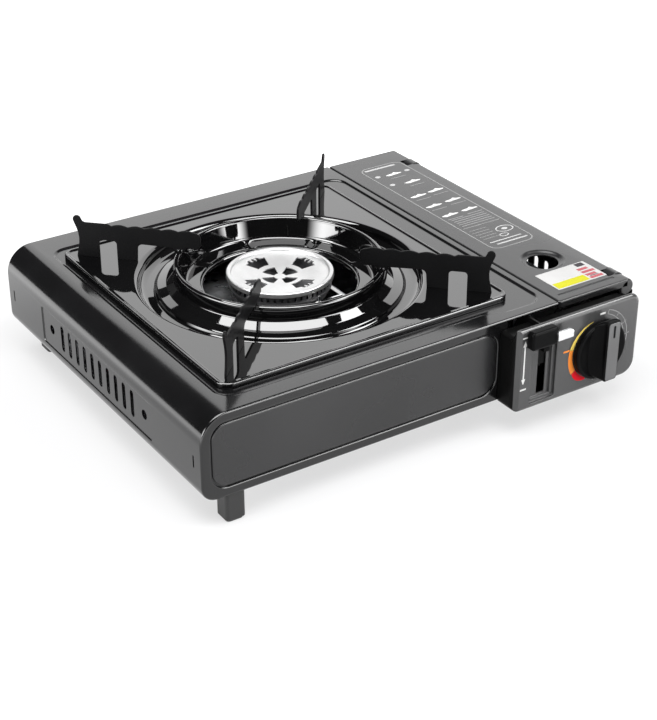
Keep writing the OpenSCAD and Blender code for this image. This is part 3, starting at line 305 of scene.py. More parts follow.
class Sheet:
    """A mesh that grows by loops of points, the bands between them and flat fills.

    Where a method takes "at", that is a function of two coordinates in a surface and the
    distance from it, which gives the point in body coordinates.
    """

    def __init__(self):
        self.mesh = bmesh.new()

    def loop(self, points):
        return [self.mesh.verts.new(place(*p)) for p in points]

    def band(self, first, second, closed=True):
        """Faces between two loops of one length."""
        count = len(first)
        for i in range(count if closed else count - 1):
            j = (i + 1) % count
            self.mesh.faces.new((first[i], first[j], second[j], second[i]))

    def bands(self, loops, closed=True):
        """Faces from each loop to the next; returns the loops."""
        for first, second in zip(loops, loops[1:]):
            self.band(first, second, closed)
        return loops

    def fill(self, outer, holes=()):
        """Flat faces between an outer loop and its holes."""
        loops = [outer, *holes]
        verts = [v for one in loops for v in one]
        for corners in tessellate_polygon([[v.co for v in one] for one in loops]):
            if len(set(corners)) == 3:
                self.mesh.faces.new([verts[i] for i in corners])

    def ring(self, path, at, off=0.0):
        """A loop from a path in a surface, at one distance from it."""
        return self.loop([at(u, v, off) for u, v in path])

    def drawn(self, outline, section, at, closed=True):
        """Bands through outline(size) for each (size, distance) of a section; the loops."""
        return self.bands([self.ring(outline(size), at, off) for size, off in section], closed)

    def pressed(self, path, section, at):
        """Bands along a closed path, from a section of (growth, distance); the loops."""
        return self.drawn(lambda out: grown(path, out), section, at)

    def turned(self, u, v, section, at, steps):
        """Bands round an axis, from a section of (radius, distance); the loops."""
        return self.drawn(lambda radius: ellipse(u, v, radius, radius, steps), section, at)

    def close(self, loops):
        """Fills the first and the last loop."""
        self.fill(loops[0])
        self.fill(loops[-1])


def stand(name, sheet, slot_name, body, replaced=(), thick=0.0, facing=None):
    """Turns a Sheet into a smooth-shaded piece on its body, in place of CAD nodes."""
    builder = sheet.mesh
    bmesh.ops.remove_doubles(builder, verts=builder.verts, dist=MERGE)
    bmesh.ops.recalc_face_normals(builder, faces=builder.faces)
    if facing is not None:
        total = Vector((0, 0, 0))
        for face in builder.faces:
            total += face.normal * face.calc_area()
        if total.dot(Vector(facing)) < 0:
            bmesh.ops.reverse_faces(builder, faces=builder.faces)
    dress(name, mesh_from(name, builder), slot_name, body, replaced, thick)


def dress(name, mesh, slot_name, body, replaced=(), thick=0.0):
    """Links a mesh with its finish, thickness and weighted normals, and rides it."""
    mesh.materials.clear()
    mesh.materials.append(FINISHES[slot_name])
    mesh.shade_smooth()
    mesh.set_sharp_from_angle(angle=SHARP)
    piece = linked(name, mesh)
    if thick > 0:
        thicken(piece, thick).use_even_offset = True
    normals = piece.modifiers.new("normals", "WEIGHTED_NORMAL")
    normals.keep_sharp = True
    normals.weight = 80
    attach(piece, body)
    if replaced:
        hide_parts(*replaced)
    return piece


def thicken(piece, thick):
    """Gives a sheet its thickness, away from its face side."""
    wall = piece.modifiers.new("wall", "SOLIDIFY")
    wall.thickness = thick * MM
    wall.offset = -1
    return wall


def round_over(piece, width, angle):
    """Rounds the edges sharper than an angle, before the normals are weighted."""
    rim = piece.modifiers.new("edges", "BEVEL")
    rim.width = width * MM
    rim.segments = 2
    rim.limit_method = "ANGLE"
    rim.angle_limit = math.radians(angle)
    piece.modifiers.move(len(piece.modifiers) - 1, 0)


# ---- body ----

BODY_DEPTH = 289.0
BODY_WIDTH = 351.0
UNDERSIDE = 22.0
TOP = 83.5
TOP_ROUND = 20.0
TOP_STEPS = 28
FOOT_ROUND = 11.0
FOOT_STEPS = 14
SHEET = 0.8
SHEET_RIGHT = 281.0         # right edge of the top sheet
LIP_RIGHT = 237.0           # the front lip ends behind the control box
HINGE_ROUND = 6.0
EDGE = 1.5                  # bend radius of the front and rear edges
EDGE_RINGS = [(EDGE, 0.0), (0.86, 0.14), (0.44, 0.44), (0.12, 0.92), (0.0, EDGE)]


def on_top(x, y, rise):
    return (x, y, TOP + rise)


def on_front(x, z, depth):
    return (x, depth, z)


def on_rear(x, z, depth):
    return (x, BODY_DEPTH - depth, z)


def on_left(y, z, depth):
    return (depth, y, z)


def on_right(y, z, depth):
    return (BODY_WIDTH - depth, y, z)


def body_chain(inset):
    """Outline of the left part from the top sheet's right edge round to the underside."""
    return ([(SHEET_RIGHT, TOP - inset)]
            + arc(TOP_ROUND, TOP - TOP_ROUND, TOP_ROUND - inset, 90, 180, TOP_STEPS)
            + arc(FOOT_ROUND, UNDERSIDE + FOOT_ROUND, FOOT_ROUND - inset, 180, 270, FOOT_STEPS)
            + [(LIP_RIGHT, UNDERSIDE + inset)])


RECESS_CORNERS = ((36.8, 26.8), (263.8, 21.6), (263.8, 253.3), (36.8, 253.3))
RECESS_ROUND = 12
RECESS_STEP = (224, 24, 14.8, 2.6)      # x where the step in its front starts, length, y, depth


def recess_path():
    """Plan of the recess, with its soft step towards the front at the right."""
    start, length, level, depth = RECESS_STEP
    path = []
    for i, (x, y) in enumerate(RECESS_CORNERS):
        path += arc(x, y, RECESS_ROUND, 180 + 90 * i, 270 + 90 * i, 14)
        if i == 0:
            for share in [k / 16 for k in range(17)]:
                path.append((start + length * share,
                             level - depth * (1 - math.cos(math.pi * share))))
    return path


def slot_path(cy, cz, width, height, steps=6):
    """A round-ended slot in the wall's plane."""
    half = height / 2 - width / 2
    return (arc(cy, cz - half, width / 2, 180, 360, steps)
            + arc(cy, cz + half, width / 2, 0, 180, steps))


def through(sheet, paths, at, near):
    """Edges of openings in a wall whose face lies at near; returns the face's loops."""
    return [sheet.pressed(path, [(0.0, near), (0.0, near + SHEET)], at)[0] for path in paths]


def make_shell():
    sheet = Sheet()
    front, rear = [sheet.drawn(body_chain, EDGE_RINGS, at, False) for at in (on_front, on_rear)]
    front_edge = front[-1]
    rear_edge = rear[-1]
    wall_top = 1 + TOP_STEPS                 # last point of the upper rounding
    wall_low = wall_top + 1                  # first point of the lower rounding
    for bend in (slice(1, wall_top + 1), slice(wall_low, -1)):
        sheet.band(front_edge[bend], rear_edge[bend], closed=False)
    make_top(sheet, front_edge, rear_edge)
    make_wall(sheet, [front_edge[wall_top], rear_edge[wall_top], rear_edge[wall_low],
                      front_edge[wall_low]])
    make_lips(sheet, front[0], rear[0])
    make_underside(sheet)
    make_right_wall(sheet)
    stand("body_sheet", sheet, "shell_enamel", "stove_body", ("outer_shell",))


RECESS_SECTION = [(1.5, 0.0), (1.0, -0.06), (0.55, -0.25), (0.15, -0.55), (-0.2, -0.85),
                  (-0.6, -1.08), (-1.1, -1.19), (-1.7, -1.2)]
PAN_OPENING = (37.5, 31.3, 250.5, 248.3, 20)
OPENING_SECTION = [(0.0, -1.2), (0.0, -1.2 - SHEET)]
SHEET_DROP = -1.8           # lower edge of the top sheet's right side


def make_top(sheet, front_edge, rear_edge):
    """Top sheet with the recess and the opening under the pan."""
    loops = sheet.pressed(recess_path(), RECESS_SECTION, on_top)
    sheet.fill([front_edge[1], front_edge[0], rear_edge[0], rear_edge[1]], [loops[0]])
    rims = sheet.pressed(rounded(*PAN_OPENING), OPENING_SECTION, on_top)
    sheet.fill(loops[-1], [rims[0]])
    side = [(SHEET_RIGHT, EDGE), (SHEET_RIGHT, BODY_DEPTH - EDGE)]
    sheet.band([front_edge[0], rear_edge[0]], sheet.ring(side, on_top, SHEET_DROP), closed=False)


VENT_Z = 49.0
VENT_FIRST = 93.15
VENT_PITCH = 11.7
VENT_COUNT = 10
VENT_WIDTH = 4.8
VENT_HEIGHT = 20.0
HOLE_AWAY = 17              # from the last slot at either end to the round hole beside it
HOLE_RADIUS = 3.5
END_AWAY = 10.0             # from the wall's ends to the narrow slots there
FIELD = (65.15, 34.0, 230.45, 62.0, 2.2)
FIELD_SECTION = [(0.35, 0.0), (0.05, 0.1), (-0.25, 0.4), (-0.6, 0.7), (-1.0, 0.8)]


def vent_cuts():
    """Plans of a side wall's slots and of the round holes beside them."""
    places = [VENT_FIRST + i * VENT_PITCH for i in range(VENT_COUNT)]
    return ([slot_path(y, VENT_Z, VENT_WIDTH, VENT_HEIGHT) for y in places]
            + [ellipse(y, VENT_Z, HOLE_RADIUS, HOLE_RADIUS, 24)
               for y in (places[0] - HOLE_AWAY, places[-1] + HOLE_AWAY)])


def end_cuts():
    """Plans of the narrow slots at a side wall's ends."""
    return [slot_path(y, VENT_Z, 1.6, 9, 4) for y in (END_AWAY, BODY_DEPTH - END_AWAY)]


def make_wall(sheet, corners):
    """Left wall with the pressed field, its slots and round holes."""
    loops = sheet.pressed(rounded(*FIELD, steps=6), FIELD_SECTION, on_left)
    sheet.fill(corners, [loops[0], *through(sheet, end_cuts(), on_left, 0.0)])
    sheet.fill(loops[-1], through(sheet, vent_cuts(), on_left, FIELD_SECTION[-1][1]))


FRONT_OPENING = (7.0, 29.0, 229.5, 76.5, 12.0)
REAR_OPENING = (7.0, 29.0, 335.0, 76.5, 12.0)
ROLL = [(1.0, 0.0), (0.45, 0.12), (0.1, 0.45), (0.0, 1.0), (0.0, 1.7)]
LIP_STRIP = TOP - EDGE - 0.3            # underside of the lip's strip over the control box
REAR_NOTCH = [(SHEET_RIGHT, TOP - 5.3), (338.4, TOP - 5.3), (338.4, 71.2), (349.5, 71.2)]


def make_lips(sheet, front, rear):
    """Flat lips between the bent edges and the rolled rims of the panel openings."""
    rolls = sheet.pressed(rounded(*FRONT_OPENING, steps=12), ROLL, on_front)
    lip_top = sheet.loop([(LIP_RIGHT, 0, TOP - EDGE)])
    sheet.fill([*lip_top, *front[1:]], [rolls[0]])
    under = sheet.loop([(x, 0, LIP_STRIP) for x in (LIP_RIGHT, SHEET_RIGHT)])
    sheet.fill([*lip_top, *under, front[0]])
    rolls = sheet.pressed(rounded(*REAR_OPENING, steps=12), ROLL, on_rear)
    foot = arc(BODY_WIDTH - HINGE_ROUND, UNDERSIDE + HINGE_ROUND, HINGE_ROUND - EDGE, 0, -90, 6)
    sheet.fill([*rear[:-1], *reversed(sheet.ring(REAR_NOTCH + foot, on_rear))], [rolls[0]])


FLANGE = 7                  # width of the underside's flange at the front and the rear
FLANGE_LEFT = 33.9          # right edge of its left part
FLANGE_RIGHT = 291.5        # its rear part's right end


def make_underside(sheet):
    """Flange that the base plate rests on."""
    near = EDGE
    far = BODY_DEPTH - EDGE
    outline = [(FOOT_ROUND, near), (LIP_RIGHT, near), (LIP_RIGHT, FLANGE), (FLANGE_LEFT, FLANGE),
               (FLANGE_LEFT, BODY_DEPTH - FLANGE), (FLANGE_RIGHT, BODY_DEPTH - FLANGE),
               (FLANGE_RIGHT, far), (FOOT_ROUND, far)]
    sheet.fill(sheet.ring(outline, on_top, UNDERSIDE - TOP))


WALL_TOP = 73.9             # upper edge of the right wall
WALL_END = 0.3              # where its inner face ends, from the front and the rear
WALL_FOOT = 12              # width of its foot
WALL_RINGS = [(SHEET, WALL_END), (0.0, EDGE), (0.0, BODY_DEPTH - EDGE),
              (SHEET, BODY_DEPTH - WALL_END)]


def wall_profile(inset):
    """Section of the right wall, from its upper edge round its foot."""
    return ([(BODY_WIDTH - inset, WALL_TOP)]
            + arc(BODY_WIDTH - HINGE_ROUND, UNDERSIDE + HINGE_ROUND, HINGE_ROUND - inset, 0, -90, 8)
            + [(BODY_WIDTH - WALL_FOOT, UNDERSIDE + inset)])


def make_right_wall(sheet):
    """Right wall with its slots and rounded foot."""
    loops = [sheet.ring(wall_profile(inset), on_front, y) for inset, y in WALL_RINGS]
    feet = sheet.bands([loop[1:] for loop in loops], closed=False)
    sheet.band(feet[-1], feet[0], closed=False)
    for a, b in ((0, 1), (2, 3)):
        sheet.band(loops[a][:2], loops[b][:2], closed=False)
    for k in (0, -1):
        sheet.fill([loop[k] for loop in loops])
    cuts = vent_cuts() + end_cuts()
    for a, b, depth in ((1, 2, 0.0), (3, 0, SHEET)):
        corners = [loops[a][0], loops[b][0], loops[b][1], loops[a][1]]
        sheet.fill(corners, [sheet.ring(path, on_right, depth) for path in cuts])
    through(sheet, cuts, on_right, 0.0)


PANEL = [(-2.6, 0.3), (-1.9, 0.34), (-1.4, 0.52), (-1.1, 0.9), (-1.0, 1.5), (2.5, 1.6)]


def make_front_panel():
    """Front panel, crowned at its edge, set just inside the rolled rim."""
    sheet = Sheet()
    loops = sheet.pressed(rounded(*FRONT_OPENING, steps=12), PANEL, on_front)
    sheet.fill(loops[0])
    stand("front_plate", sheet, "front_enamel", "stove_body", ("front_panel",), 0.0, (0, -1, 0))


make_shell()
make_front_panel()

# ---- drip pan and pot supports ----

BURNER_X = 144.0
BURNER_Y = 139.8
PAN_Z = 85.5
BOWL_RADIUS = 103.3
BOWL_DEPTH = 8.0
BOWL_EDGE = 4.0             # rounding of the bowl's rim
BOWL_SLOPE = 10             # degrees that its wall leans from upright
RING_RADIUS = 72.6
RING_RISE = 11.5
RING_TOP = 1.9              # radius of the ring's crest
PAN_HALF_X = 114.5
PAN_HALF_Y = 116.5
PAN_CORNER = 9.0
PAN_THICK = 0.9
RING_STEPS = 240
BEAD_SECTION = [(0.15, -3.0), (0.0, -2.6), (0.0, 0.0), (0.22, 0.45), (0.7, 0.78), (1.3, 0.9),
                (1.9, 0.84), (2.5, 0.62), (3.0, 0.32), (3.6, 0.1), (4.4, 0.0)]
LEDGE_Z = -4.0              # ledge inside the ring, below the pan's flat
LEDGE_RIBS = 8
RIB_DEPTH = 1.4
RIB_FIRST = math.radians(56.76 - 22)
RIB_HALF = math.radians(1.9)
# From the channel up to the ring: distance beyond the ring's outside and height
RING_OUTSIDE = [(15.2, -BOWL_DEPTH), (14.2, -7.7), (13.4, -6.8), (12.9, -5.7), (12.3, -5.0),
                (11.5, -4.68), (5.9, -3.15), (5.5, -2.95), (5.2, -2.5), (1.0, 0.85), (0.65, 1.3),
                (0.5, 2.1), (0.1, 8.0)]
# From the ring down to the ledge and the burner's hole: radius and height
RING_INSIDE = [(70.5, 9.0), (67.3, -1.6), (67.0, -2.5), (66.5, -3.3), (65.7, -3.8),
               (64.7, LEDGE_Z), (57.0, LEDGE_Z), (56.4, -4.2), (56.1, -4.7), (55.9, -5.6),
               (55.5, -5.95), (54.9, -6.05), (54.5, -6.5), (54.4, -8.6)]


def on_pan(x, y, rise):
    return (x, y, PAN_Z + rise)


def bowl_path():
    """Upper face from the flat's rim through the channel and over the ring to the hole."""
    slope = math.radians(BOWL_SLOPE)
    fillet = BOWL_DEPTH / (1 - math.sin(slope)) - BOWL_EDGE
    channel = BOWL_RADIUS - BOWL_EDGE * math.cos(slope) - fillet * math.cos(slope)
    wall = RING_RADIUS + RING_TOP
    return ([(BOWL_RADIUS + 2, 0.0)]
            + arc(BOWL_RADIUS, -BOWL_EDGE, BOWL_EDGE, 90, 180 - BOWL_SLOPE, 12)
            + arc(channel, fillet - BOWL_DEPTH, fillet, -BOWL_SLOPE, -90, 10)
            + [(wall + out, height) for out, height in RING_OUTSIDE]
            + arc(RING_RADIUS, RING_RISE - RING_TOP, RING_TOP, 6, 168, 14)
            + RING_INSIDE)


def rib_dip(radius, height, angle):
    """The ledge is divided by shallow radial grooves."""
    if abs(height - LEDGE_Z) > 0.3 or radius > RING_RADIUS - 5:
        return 0.0
    pitch = math.tau / LEDGE_RIBS
    off = (angle - RIB_FIRST + pitch / 2) % pitch - pitch / 2
    return -RIB_DEPTH * math.exp(-(off / RIB_HALF) ** 2)


def pan_plan(inset):
    half_x = PAN_HALF_X - inset
    half_y = PAN_HALF_Y - inset
    return rounded(BURNER_X - half_x, BURNER_Y - half_y, BURNER_X + half_x, BURNER_Y + half_y,
                   PAN_CORNER - inset)


def make_pan():
    sheet = Sheet()
    loops = sheet.drawn(pan_plan, BEAD_SECTION, on_pan)
    rings = sheet.turned(BURNER_X, BURNER_Y, bowl_path(), on_pan, RING_STEPS)
    for ring, (radius, height) in zip(rings, bowl_path()):
        for k, vertex in enumerate(ring):
            vertex.co.z += MM * rib_dip(radius, height, math.tau * k / RING_STEPS)
    sheet.fill(loops[-1], [rings[0]])
    stand("pan_pressing", sheet, "pan_enamel", "pan_set", ("drip_pan",), PAN_THICK, (0, 0, 1))


POT_LEVEL = 25.3
HORN_RISE = 31.6
SUPPORT_IN = 57.0
SUPPORT_OUT = 150.0
TOOTH_COUNT = 5
TOOTH_HEIGHT = 1.3
TOOTH_STEPS = 8
TOOTH_OUT = SUPPORT_OUT - 27
TOOTH_IN = SUPPORT_IN + 4.2
# Growth of the outline and distance from the plate's middle: a plate 1.6 thick, edges eased
SUPPORT_SECTION = [(-0.4, 0.8), (-0.12, 0.7), (0.0, 0.42), (0.0, -0.42), (-0.12, -0.7),
                   (-0.4, -0.8)]
# Outer foot and the edge up to the horn: distance inwards from SUPPORT_OUT, and height
HORN_EDGE = [(17.5, 0.0), (0.3, 0.0), (1.2, 5.0), (2.3, 10.0), (2.6, 14.0), (2.2, 18.0),
             (1.3, 21.5)]
# Where the plate stands on the ring: beyond the ring's radius and above its crest
RING_SEAT = [(-4, 1.6), (-3.4, -1.4), (-2.4, -1.4), (-2.2, 0.1), (2.2, 0.1), (2.6, -1.8),
             (4.2, -1.8), (5, 1.2)]
SUPPORTS = {"pot_support_rear_right": 45, "pot_support_rear_left": 135,
            "pot_support_front_left": 225, "pot_support_front_right": 315}


def support_outline():
    """Side view: radius from the burner's axis and height over the pan, anticlockwise."""
    out = SUPPORT_OUT
    crest = POT_LEVEL + TOOTH_HEIGHT
    pitch = (TOOTH_OUT - TOOTH_IN) / TOOTH_COUNT
    teeth = [k + j / TOOTH_STEPS for k in range(TOOTH_COUNT) for j in range(TOOTH_STEPS)]
    return ([(BOWL_RADIUS + 1.2, 0.0), (out - 30.5, 0.0)]
            + arc(out - 27.9, 11.4, 2.6, 180, 90, 5)
            + arc(out - 20.1, 11.4, 2.6, 90, 0, 5)
            + [(out - x, height) for x, height in HORN_EDGE]
            + arc(out - 1.8, HORN_RISE - 3, 3, -20, 165, 12)
            + [(out - 5.1, POT_LEVEL + 3.0), (out - 6.0, POT_LEVEL + 1.7), (out - 7.8, crest),
               (TOOTH_OUT + 2.5, crest)]
            + [(TOOTH_OUT - share * pitch,
                POT_LEVEL + TOOTH_HEIGHT * math.sin(math.pi * (share % 1))) for share in teeth]
            + arc(TOOTH_IN, POT_LEVEL - 4.2, 4.2, 90, 180, 7)
            + arc(SUPPORT_IN + 4.6, POT_LEVEL - 8, 4.6, 180, 260, 7)
            + [(RING_RADIUS + x, RING_RISE + height) for x, height in RING_SEAT]
            + arc(BOWL_RADIUS - 3.3, RING_RISE - 2.2, 3.9, 90, 0, 7))


def make_support(name, angle):
    """A punched plate with a small round-over on both faces."""
    turn = math.radians(angle)
    along_x = math.cos(turn)
    along_y = math.sin(turn)

    def on_plate(radius, height, side):
        return on_pan(BURNER_X + radius * along_x - side * along_y,
                      BURNER_Y + radius * along_y + side * along_x, height)

    sheet = Sheet()
    sheet.close(sheet.pressed(support_outline(), SUPPORT_SECTION, on_plate))
    stand(name + "_plate", sheet, "support_enamel", "pan_set", (name,))


make_pan()
for support_name, support_angle in SUPPORTS.items():
    make_support(support_name, support_angle)

# ---- burner ----

CAP_Z = 88.3
CAP_TURN = 12.0
CAP_STEPS = 128
CAP_SECTION = [(38.0, -3.4), (38.0, -0.9), (37.8, -0.45), (37.4, -0.12), (36.8, 0.05),
               (35.9, 0.05), (35.2, -0.08), (34.7, -0.45), (34.45, -1.1), (34.3, -1.6),
               (33.8, -1.85), (33.0, -1.9), (30.0, -1.9), (27.0, -2.0), (22.0, -2.7),
               (16.0, -3.7), (10.0, -4.5), (5.0, -4.9), (0.6, -5.0)]
CAP_THICK = 0.9
CROSS_HOLE = (4.2, 13.4, 33, 6)         # radii, half the angle and the soft corners' angle
KIDNEY_IN = 17.4
KIDNEY_OUT = 27.2
NOTCH_OUT = 29.6
NOTCH_LAND = 26.2           # the outer edge between the notches
NOTCH_STEP = 7.5            # degrees from notch to notch
DOT_AT = 29.2
DOT_RADIUS = 0.55


def on_cap(x, y, rise):
    return (BURNER_X + x, BURNER_Y + y, CAP_Z + rise)


def closed_object(name, sheet):
    """A plain object from a Sheet, with its faces turned one way."""
    bmesh.ops.recalc_face_normals(sheet.mesh, faces=sheet.mesh.faces)
    return linked(name, mesh_from(name, sheet.mesh))


def cutter(path, low, high):
    """A closed prism through the cap for a boolean cut."""
    sheet = Sheet()
    sheet.close(sheet.pressed(path, [(0.0, low), (0.0, high)], on_cap))
    return closed_object("cap_hole", sheet)


def carve(piece, tools):
    """Applies boolean differences and removes the cutters."""
    for tool in tools:
        cut = piece.modifiers.new("cut", "BOOLEAN")
        cut.operation = "DIFFERENCE"
        cut.solver = "EXACT"
        cut.object = tool
    graph = bpy.context.evaluated_depsgraph_get()
    mesh = bpy.data.meshes.new_from_object(piece.evaluated_get(graph))
    for used in (*tools, piece):
        bpy.data.objects.remove(used)
    return mesh


def kidney(middle):
    """Plan of a kidney hole with three notches in its outer edge."""
    path = arc(0, 0, KIDNEY_OUT, middle - 19.5, middle - 11.5, 3)
    for notch in (-NOTCH_STEP, 0.0, NOTCH_STEP):
        path += arc(0, 0, NOTCH_OUT, middle + notch - 1.6, middle + notch + 1.6, 1)
        if notch < NOTCH_STEP:
            path += arc(0, 0, NOTCH_LAND, middle + notch + 3.1, middle + notch + 4.3, 1)
    return (path + arc(0, 0, KIDNEY_OUT, middle + 11.5, middle + 19.5, 3)
            + arc(0, 0, KIDNEY_IN, middle + 17, middle - 17, 6))


def cap_holes():
    """Four sectors round the middle cross, four kidney holes and the dots beyond them."""
    paths = []
    inner, outer, half, soft = CROSS_HOLE
    for middle in [CAP_TURN + 90 * k for k in range(4)]:
        paths.append(arc(0, 0, outer, middle - half + soft, middle + half - soft, 10)
                     + arc(0, 0, inner, middle + half - soft * 0.6, middle - half + soft * 0.6, 6))
        paths.append(kidney(middle))
        for notch in (-NOTCH_STEP / 2, NOTCH_STEP / 2):
            angle = math.radians(middle + notch)
            paths.append(ellipse(DOT_AT * math.cos(angle), DOT_AT * math.sin(angle), DOT_RADIUS,
                                 DOT_RADIUS, 10))
    return paths


def make_cap():
    sheet = Sheet()
    rings = sheet.turned(0, 0, CAP_SECTION, on_cap, CAP_STEPS)
    sheet.fill(rings[-1])
    blank = closed_object("cap_blank", sheet)
    thicken(blank, CAP_THICK)
    mesh = carve(blank, [cutter(path, -12, 6) for path in cap_holes()])
    piece = dress("cap_pressing", mesh, "cap_aluminium", "stove_body", ("burner_cap",))
    round_over(piece, 0.22, 45)


make_cap()

# ---- lid ----

LID_LEFT = 282.4
LID_ENDS = 0.4
LID_CORNER = 2.4
LID_THICK = 0.7
HINGE_X = 345.0
HINGE_Z = 77.5
CURL = 6.0                  # outer radius of the rolled hinge edge
CURL_ARC = (90, -262.5, 47)
WINDOW_X = 315.7
WINDOW_Y = 58.5
KNUCKLES = (12.0, 255.0)
KNUCKLE_LENGTH = 10.0
KNUCKLE_GAP = 0.3
NOTCH_LEFT = 337.0
LID_SECTION = [(1.5, 0.0), (0.95, -0.1), (0.5, -0.38), (0.18, -0.8), (0.0, -1.5), (0.0, -5.0)]
DISH = [(16.6, 0.0), (16.0, -0.12), (15.3, -0.5), (14.4, -1.15), (13.6, -1.6), (12.9, -1.8),
        (12.1, -1.8), (11.7, -2.0), (11.5, -2.6)]
GROOVE = (288.0, 7.4, 339.0, 10.0, 1.0)         # pressed along the front edge
GROOVE_SECTION = [(0.3, 0.0), (0.0, -0.1), (-0.3, -0.4), (-0.7, -0.5)]


def lid_chain(inset):
    """Plan of the front, left and rear edges, from the hinge round to the hinge."""
    x0 = LID_LEFT + inset
    y0 = LID_ENDS + inset
    y1 = BODY_DEPTH - LID_ENDS - inset
    radius = LID_CORNER - inset
    return ([(HINGE_X, y0)]
            + arc(x0 + radius, y0 + radius, radius, 270, 180, 8)
            + arc(x0 + radius, y1 - radius, radius, 180, 90, 8)
            + [(HINGE_X, y1)])


def knuckle_ends():
    """Ends of the cuts for the knuckles, from front to rear."""
    return [(y - KNUCKLE_GAP, y + KNUCKLE_LENGTH + KNUCKLE_GAP) for y in KNUCKLES]


def lid_notches():
    """Right edge of the flat, from rear to front, with the notches for the knuckles."""
    points = []
    for near, far in reversed(knuckle_ends()):
        points += [(HINGE_X, far), (NOTCH_LEFT, far), (NOTCH_LEFT, near), (HINGE_X, near)]
    return points


def make_curl(sheet, y0, y1):
    """One length of the rolled hinge edge, with rounded ends."""
    ends = [(CURL + drop, inset) for inset, drop in reversed(LID_SECTION[:-1])]
    section = [(r, y0 + d) for r, d in ends] + [(r, y1 - d) for r, d in reversed(ends)]
    sheet.close(sheet.drawn(lambda r: arc(HINGE_X, HINGE_Z, r, *CURL_ARC), section, on_front))


def make_lid():
    sheet = Sheet()
    loops = sheet.drawn(lid_chain, LID_SECTION, on_top, False)
    notches = sheet.ring(lid_notches(), on_top)
    groove = sheet.pressed(rounded(*GROOVE, steps=6), GROOVE_SECTION, on_top)
    sheet.fill(groove[-1])
    dish = sheet.turned(WINDOW_X, WINDOW_Y, DISH, on_top, 72)
    sheet.fill([*loops[0], *notches], [groove[0], dish[0]])
    stand("lid_sheet", sheet, "lid_enamel", "lid", ("cartridge_lid",), LID_THICK, (0, 0, 1))
    curls = Sheet()
    bounds = [LID_ENDS, *[y for ends in knuckle_ends() for y in ends], BODY_DEPTH - LID_ENDS]
    for first, second in zip(bounds[::2], bounds[1::2]):
        make_curl(curls, first, second)
    stand("lid_curl", curls, "lid_enamel", "lid")


make_lid()

# ---- control box ----

FACE_Y = -18.7
BOX_LEFT = 231.0
BOX_RIGHT = 340.0
BOX_LOW = 20.1
BOX_HIGH = 83.1
BOX_CORNERS = (5, 11, 8, 3)             # from the lower left, anticlockwise
CHAMFER = 4.0
CHAMFER_SOFT = 0.35         # softens the chamfer's edge
TOP_DEPTH = 2.9             # how far the cover's top stays level before its gutter
GUTTER = 6.6                # how far the top drops behind its front edge
GUTTER_SLOPE = 2.4
COVER_SECTION = [(-2.9, 0.0), (-2.0, 0.12), (-1.1, 0.48), (-0.45, 1.1), (-0.1, 1.9), (0.0, 2.9)]
# the cover's sides and the sheet behind its top, reaching 18.2 mm back; painted near black as
# painted shade
FLANGE_SECTION = [(0.0, 2.9), (0.0, 3.8), (0.0, 7.0), (0.0, 18.2)]
SIDE_LEVELS = (60.0, 74.5, 75.8, 77.2, 78.6, 79.6)      # where the straight sides are divided
RECESS = (244.0, 24.1, 266.0, 77.0, 1.6)
MOUTH_SECTION = [(0.7, 0.0), (0.25, 0.12), (0.0, 0.5), (0.0, 1.2)]
SPINDLE_HOLE = 4
LEVER_X = 256.0
KNOB_X = 303.0
KNOB_Z = 50.2


def on_face(x, z, height):
    return (x, FACE_Y - height, z)


def behind_face(x, z, back):
    return (x, FACE_Y + back, z)


def corner_path(x0, z0, x1, z1, radii, steps=10):
    """A rectangle with its own radius at each corner, from the lower left, anticlockwise."""
    low_left, low_right, high_right, high_left = radii
    return (arc(x0 + low_left, z0 + low_left, low_left, 180, 270, steps)
            + arc(x1 - low_right, z0 + low_right, low_right, 270, 360, steps)
            + [(x1, z) for z in SIDE_LEVELS if z < z1 - high_right]
            + arc(x1 - high_right, z1 - high_right, high_right, 0, 90, steps)
            + arc(x0 + high_left, z1 - high_left, high_left, 90, 180, steps)
            + [(x0, z) for z in reversed(SIDE_LEVELS)])


def cover_point(x, z, back):
    """Folds the outline back: the left side is chamfered and the top drops into a gutter."""
    shift = max(0.0, CHAMFER - back) + CHAMFER_SOFT * math.exp(-abs(CHAMFER - back))
    rise = min(1.0, max(0.0, (z - SIDE_LEVELS[1]) / 6.0))
    drop = rise * min(GUTTER, max(0.0, back - TOP_DEPTH) * GUTTER_SLOPE)
    return behind_face(max(x, BOX_LEFT + shift), z - drop, back)


def make_cover():
    sheet = Sheet()
    path = corner_path(BOX_LEFT, BOX_LOW, BOX_RIGHT, BOX_HIGH, BOX_CORNERS)
    loops = sheet.pressed(path, COVER_SECTION, cover_point)
    rolls = sheet.pressed(rounded(*RECESS, steps=5), MOUTH_SECTION, behind_face)
    hole = sheet.ring(ellipse(KNOB_X, KNOB_Z, SPINDLE_HOLE, SPINDLE_HOLE, 24), on_face)
    sheet.fill(loops[0], [rolls[0], hole])
    stand("cover_pressing", sheet, "cover_paint", "stove_body", ("control_cover",), 0.0,
          (0, -1, 0))
    # The cover's sides and the sheet behind its top: the cover's paint made near black, as painted
    # shade, so they read dark
    flange = Sheet()
    flange.pressed(path, FLANGE_SECTION, cover_point)
    stand("cover_flange", flange, "shade_black_paint", "stove_body")


GUIDE_SECTION = [(0.0, 0.8), (0.0, 1.6), (-0.3, 2.0), (-2.3, 2.0), (-2.6, 2.2), (-2.7, 2.8),
                 (-2.7, 3.3), (-3.0, 3.7)]
GUIDE_SLOT = (252.8, 28.1, 259.8, 74.0, 1.0)


def make_guide():
    """Stepped channel behind the cover's opening, with the lever's slot."""
    sheet = Sheet()
    loops = sheet.pressed(rounded(*RECESS, steps=5), GUIDE_SECTION, behind_face)
    rims = sheet.pressed(rounded(*GUIDE_SLOT, 3), [(0.0, 3.7), (0.0, 4.5)], behind_face)
    sheet.fill(loops[-1], [rims[0]])
    stand("guide_channel", sheet, "cover_paint", "stove_body", ("lever_guide",), 0.0, (0, -1, 0))


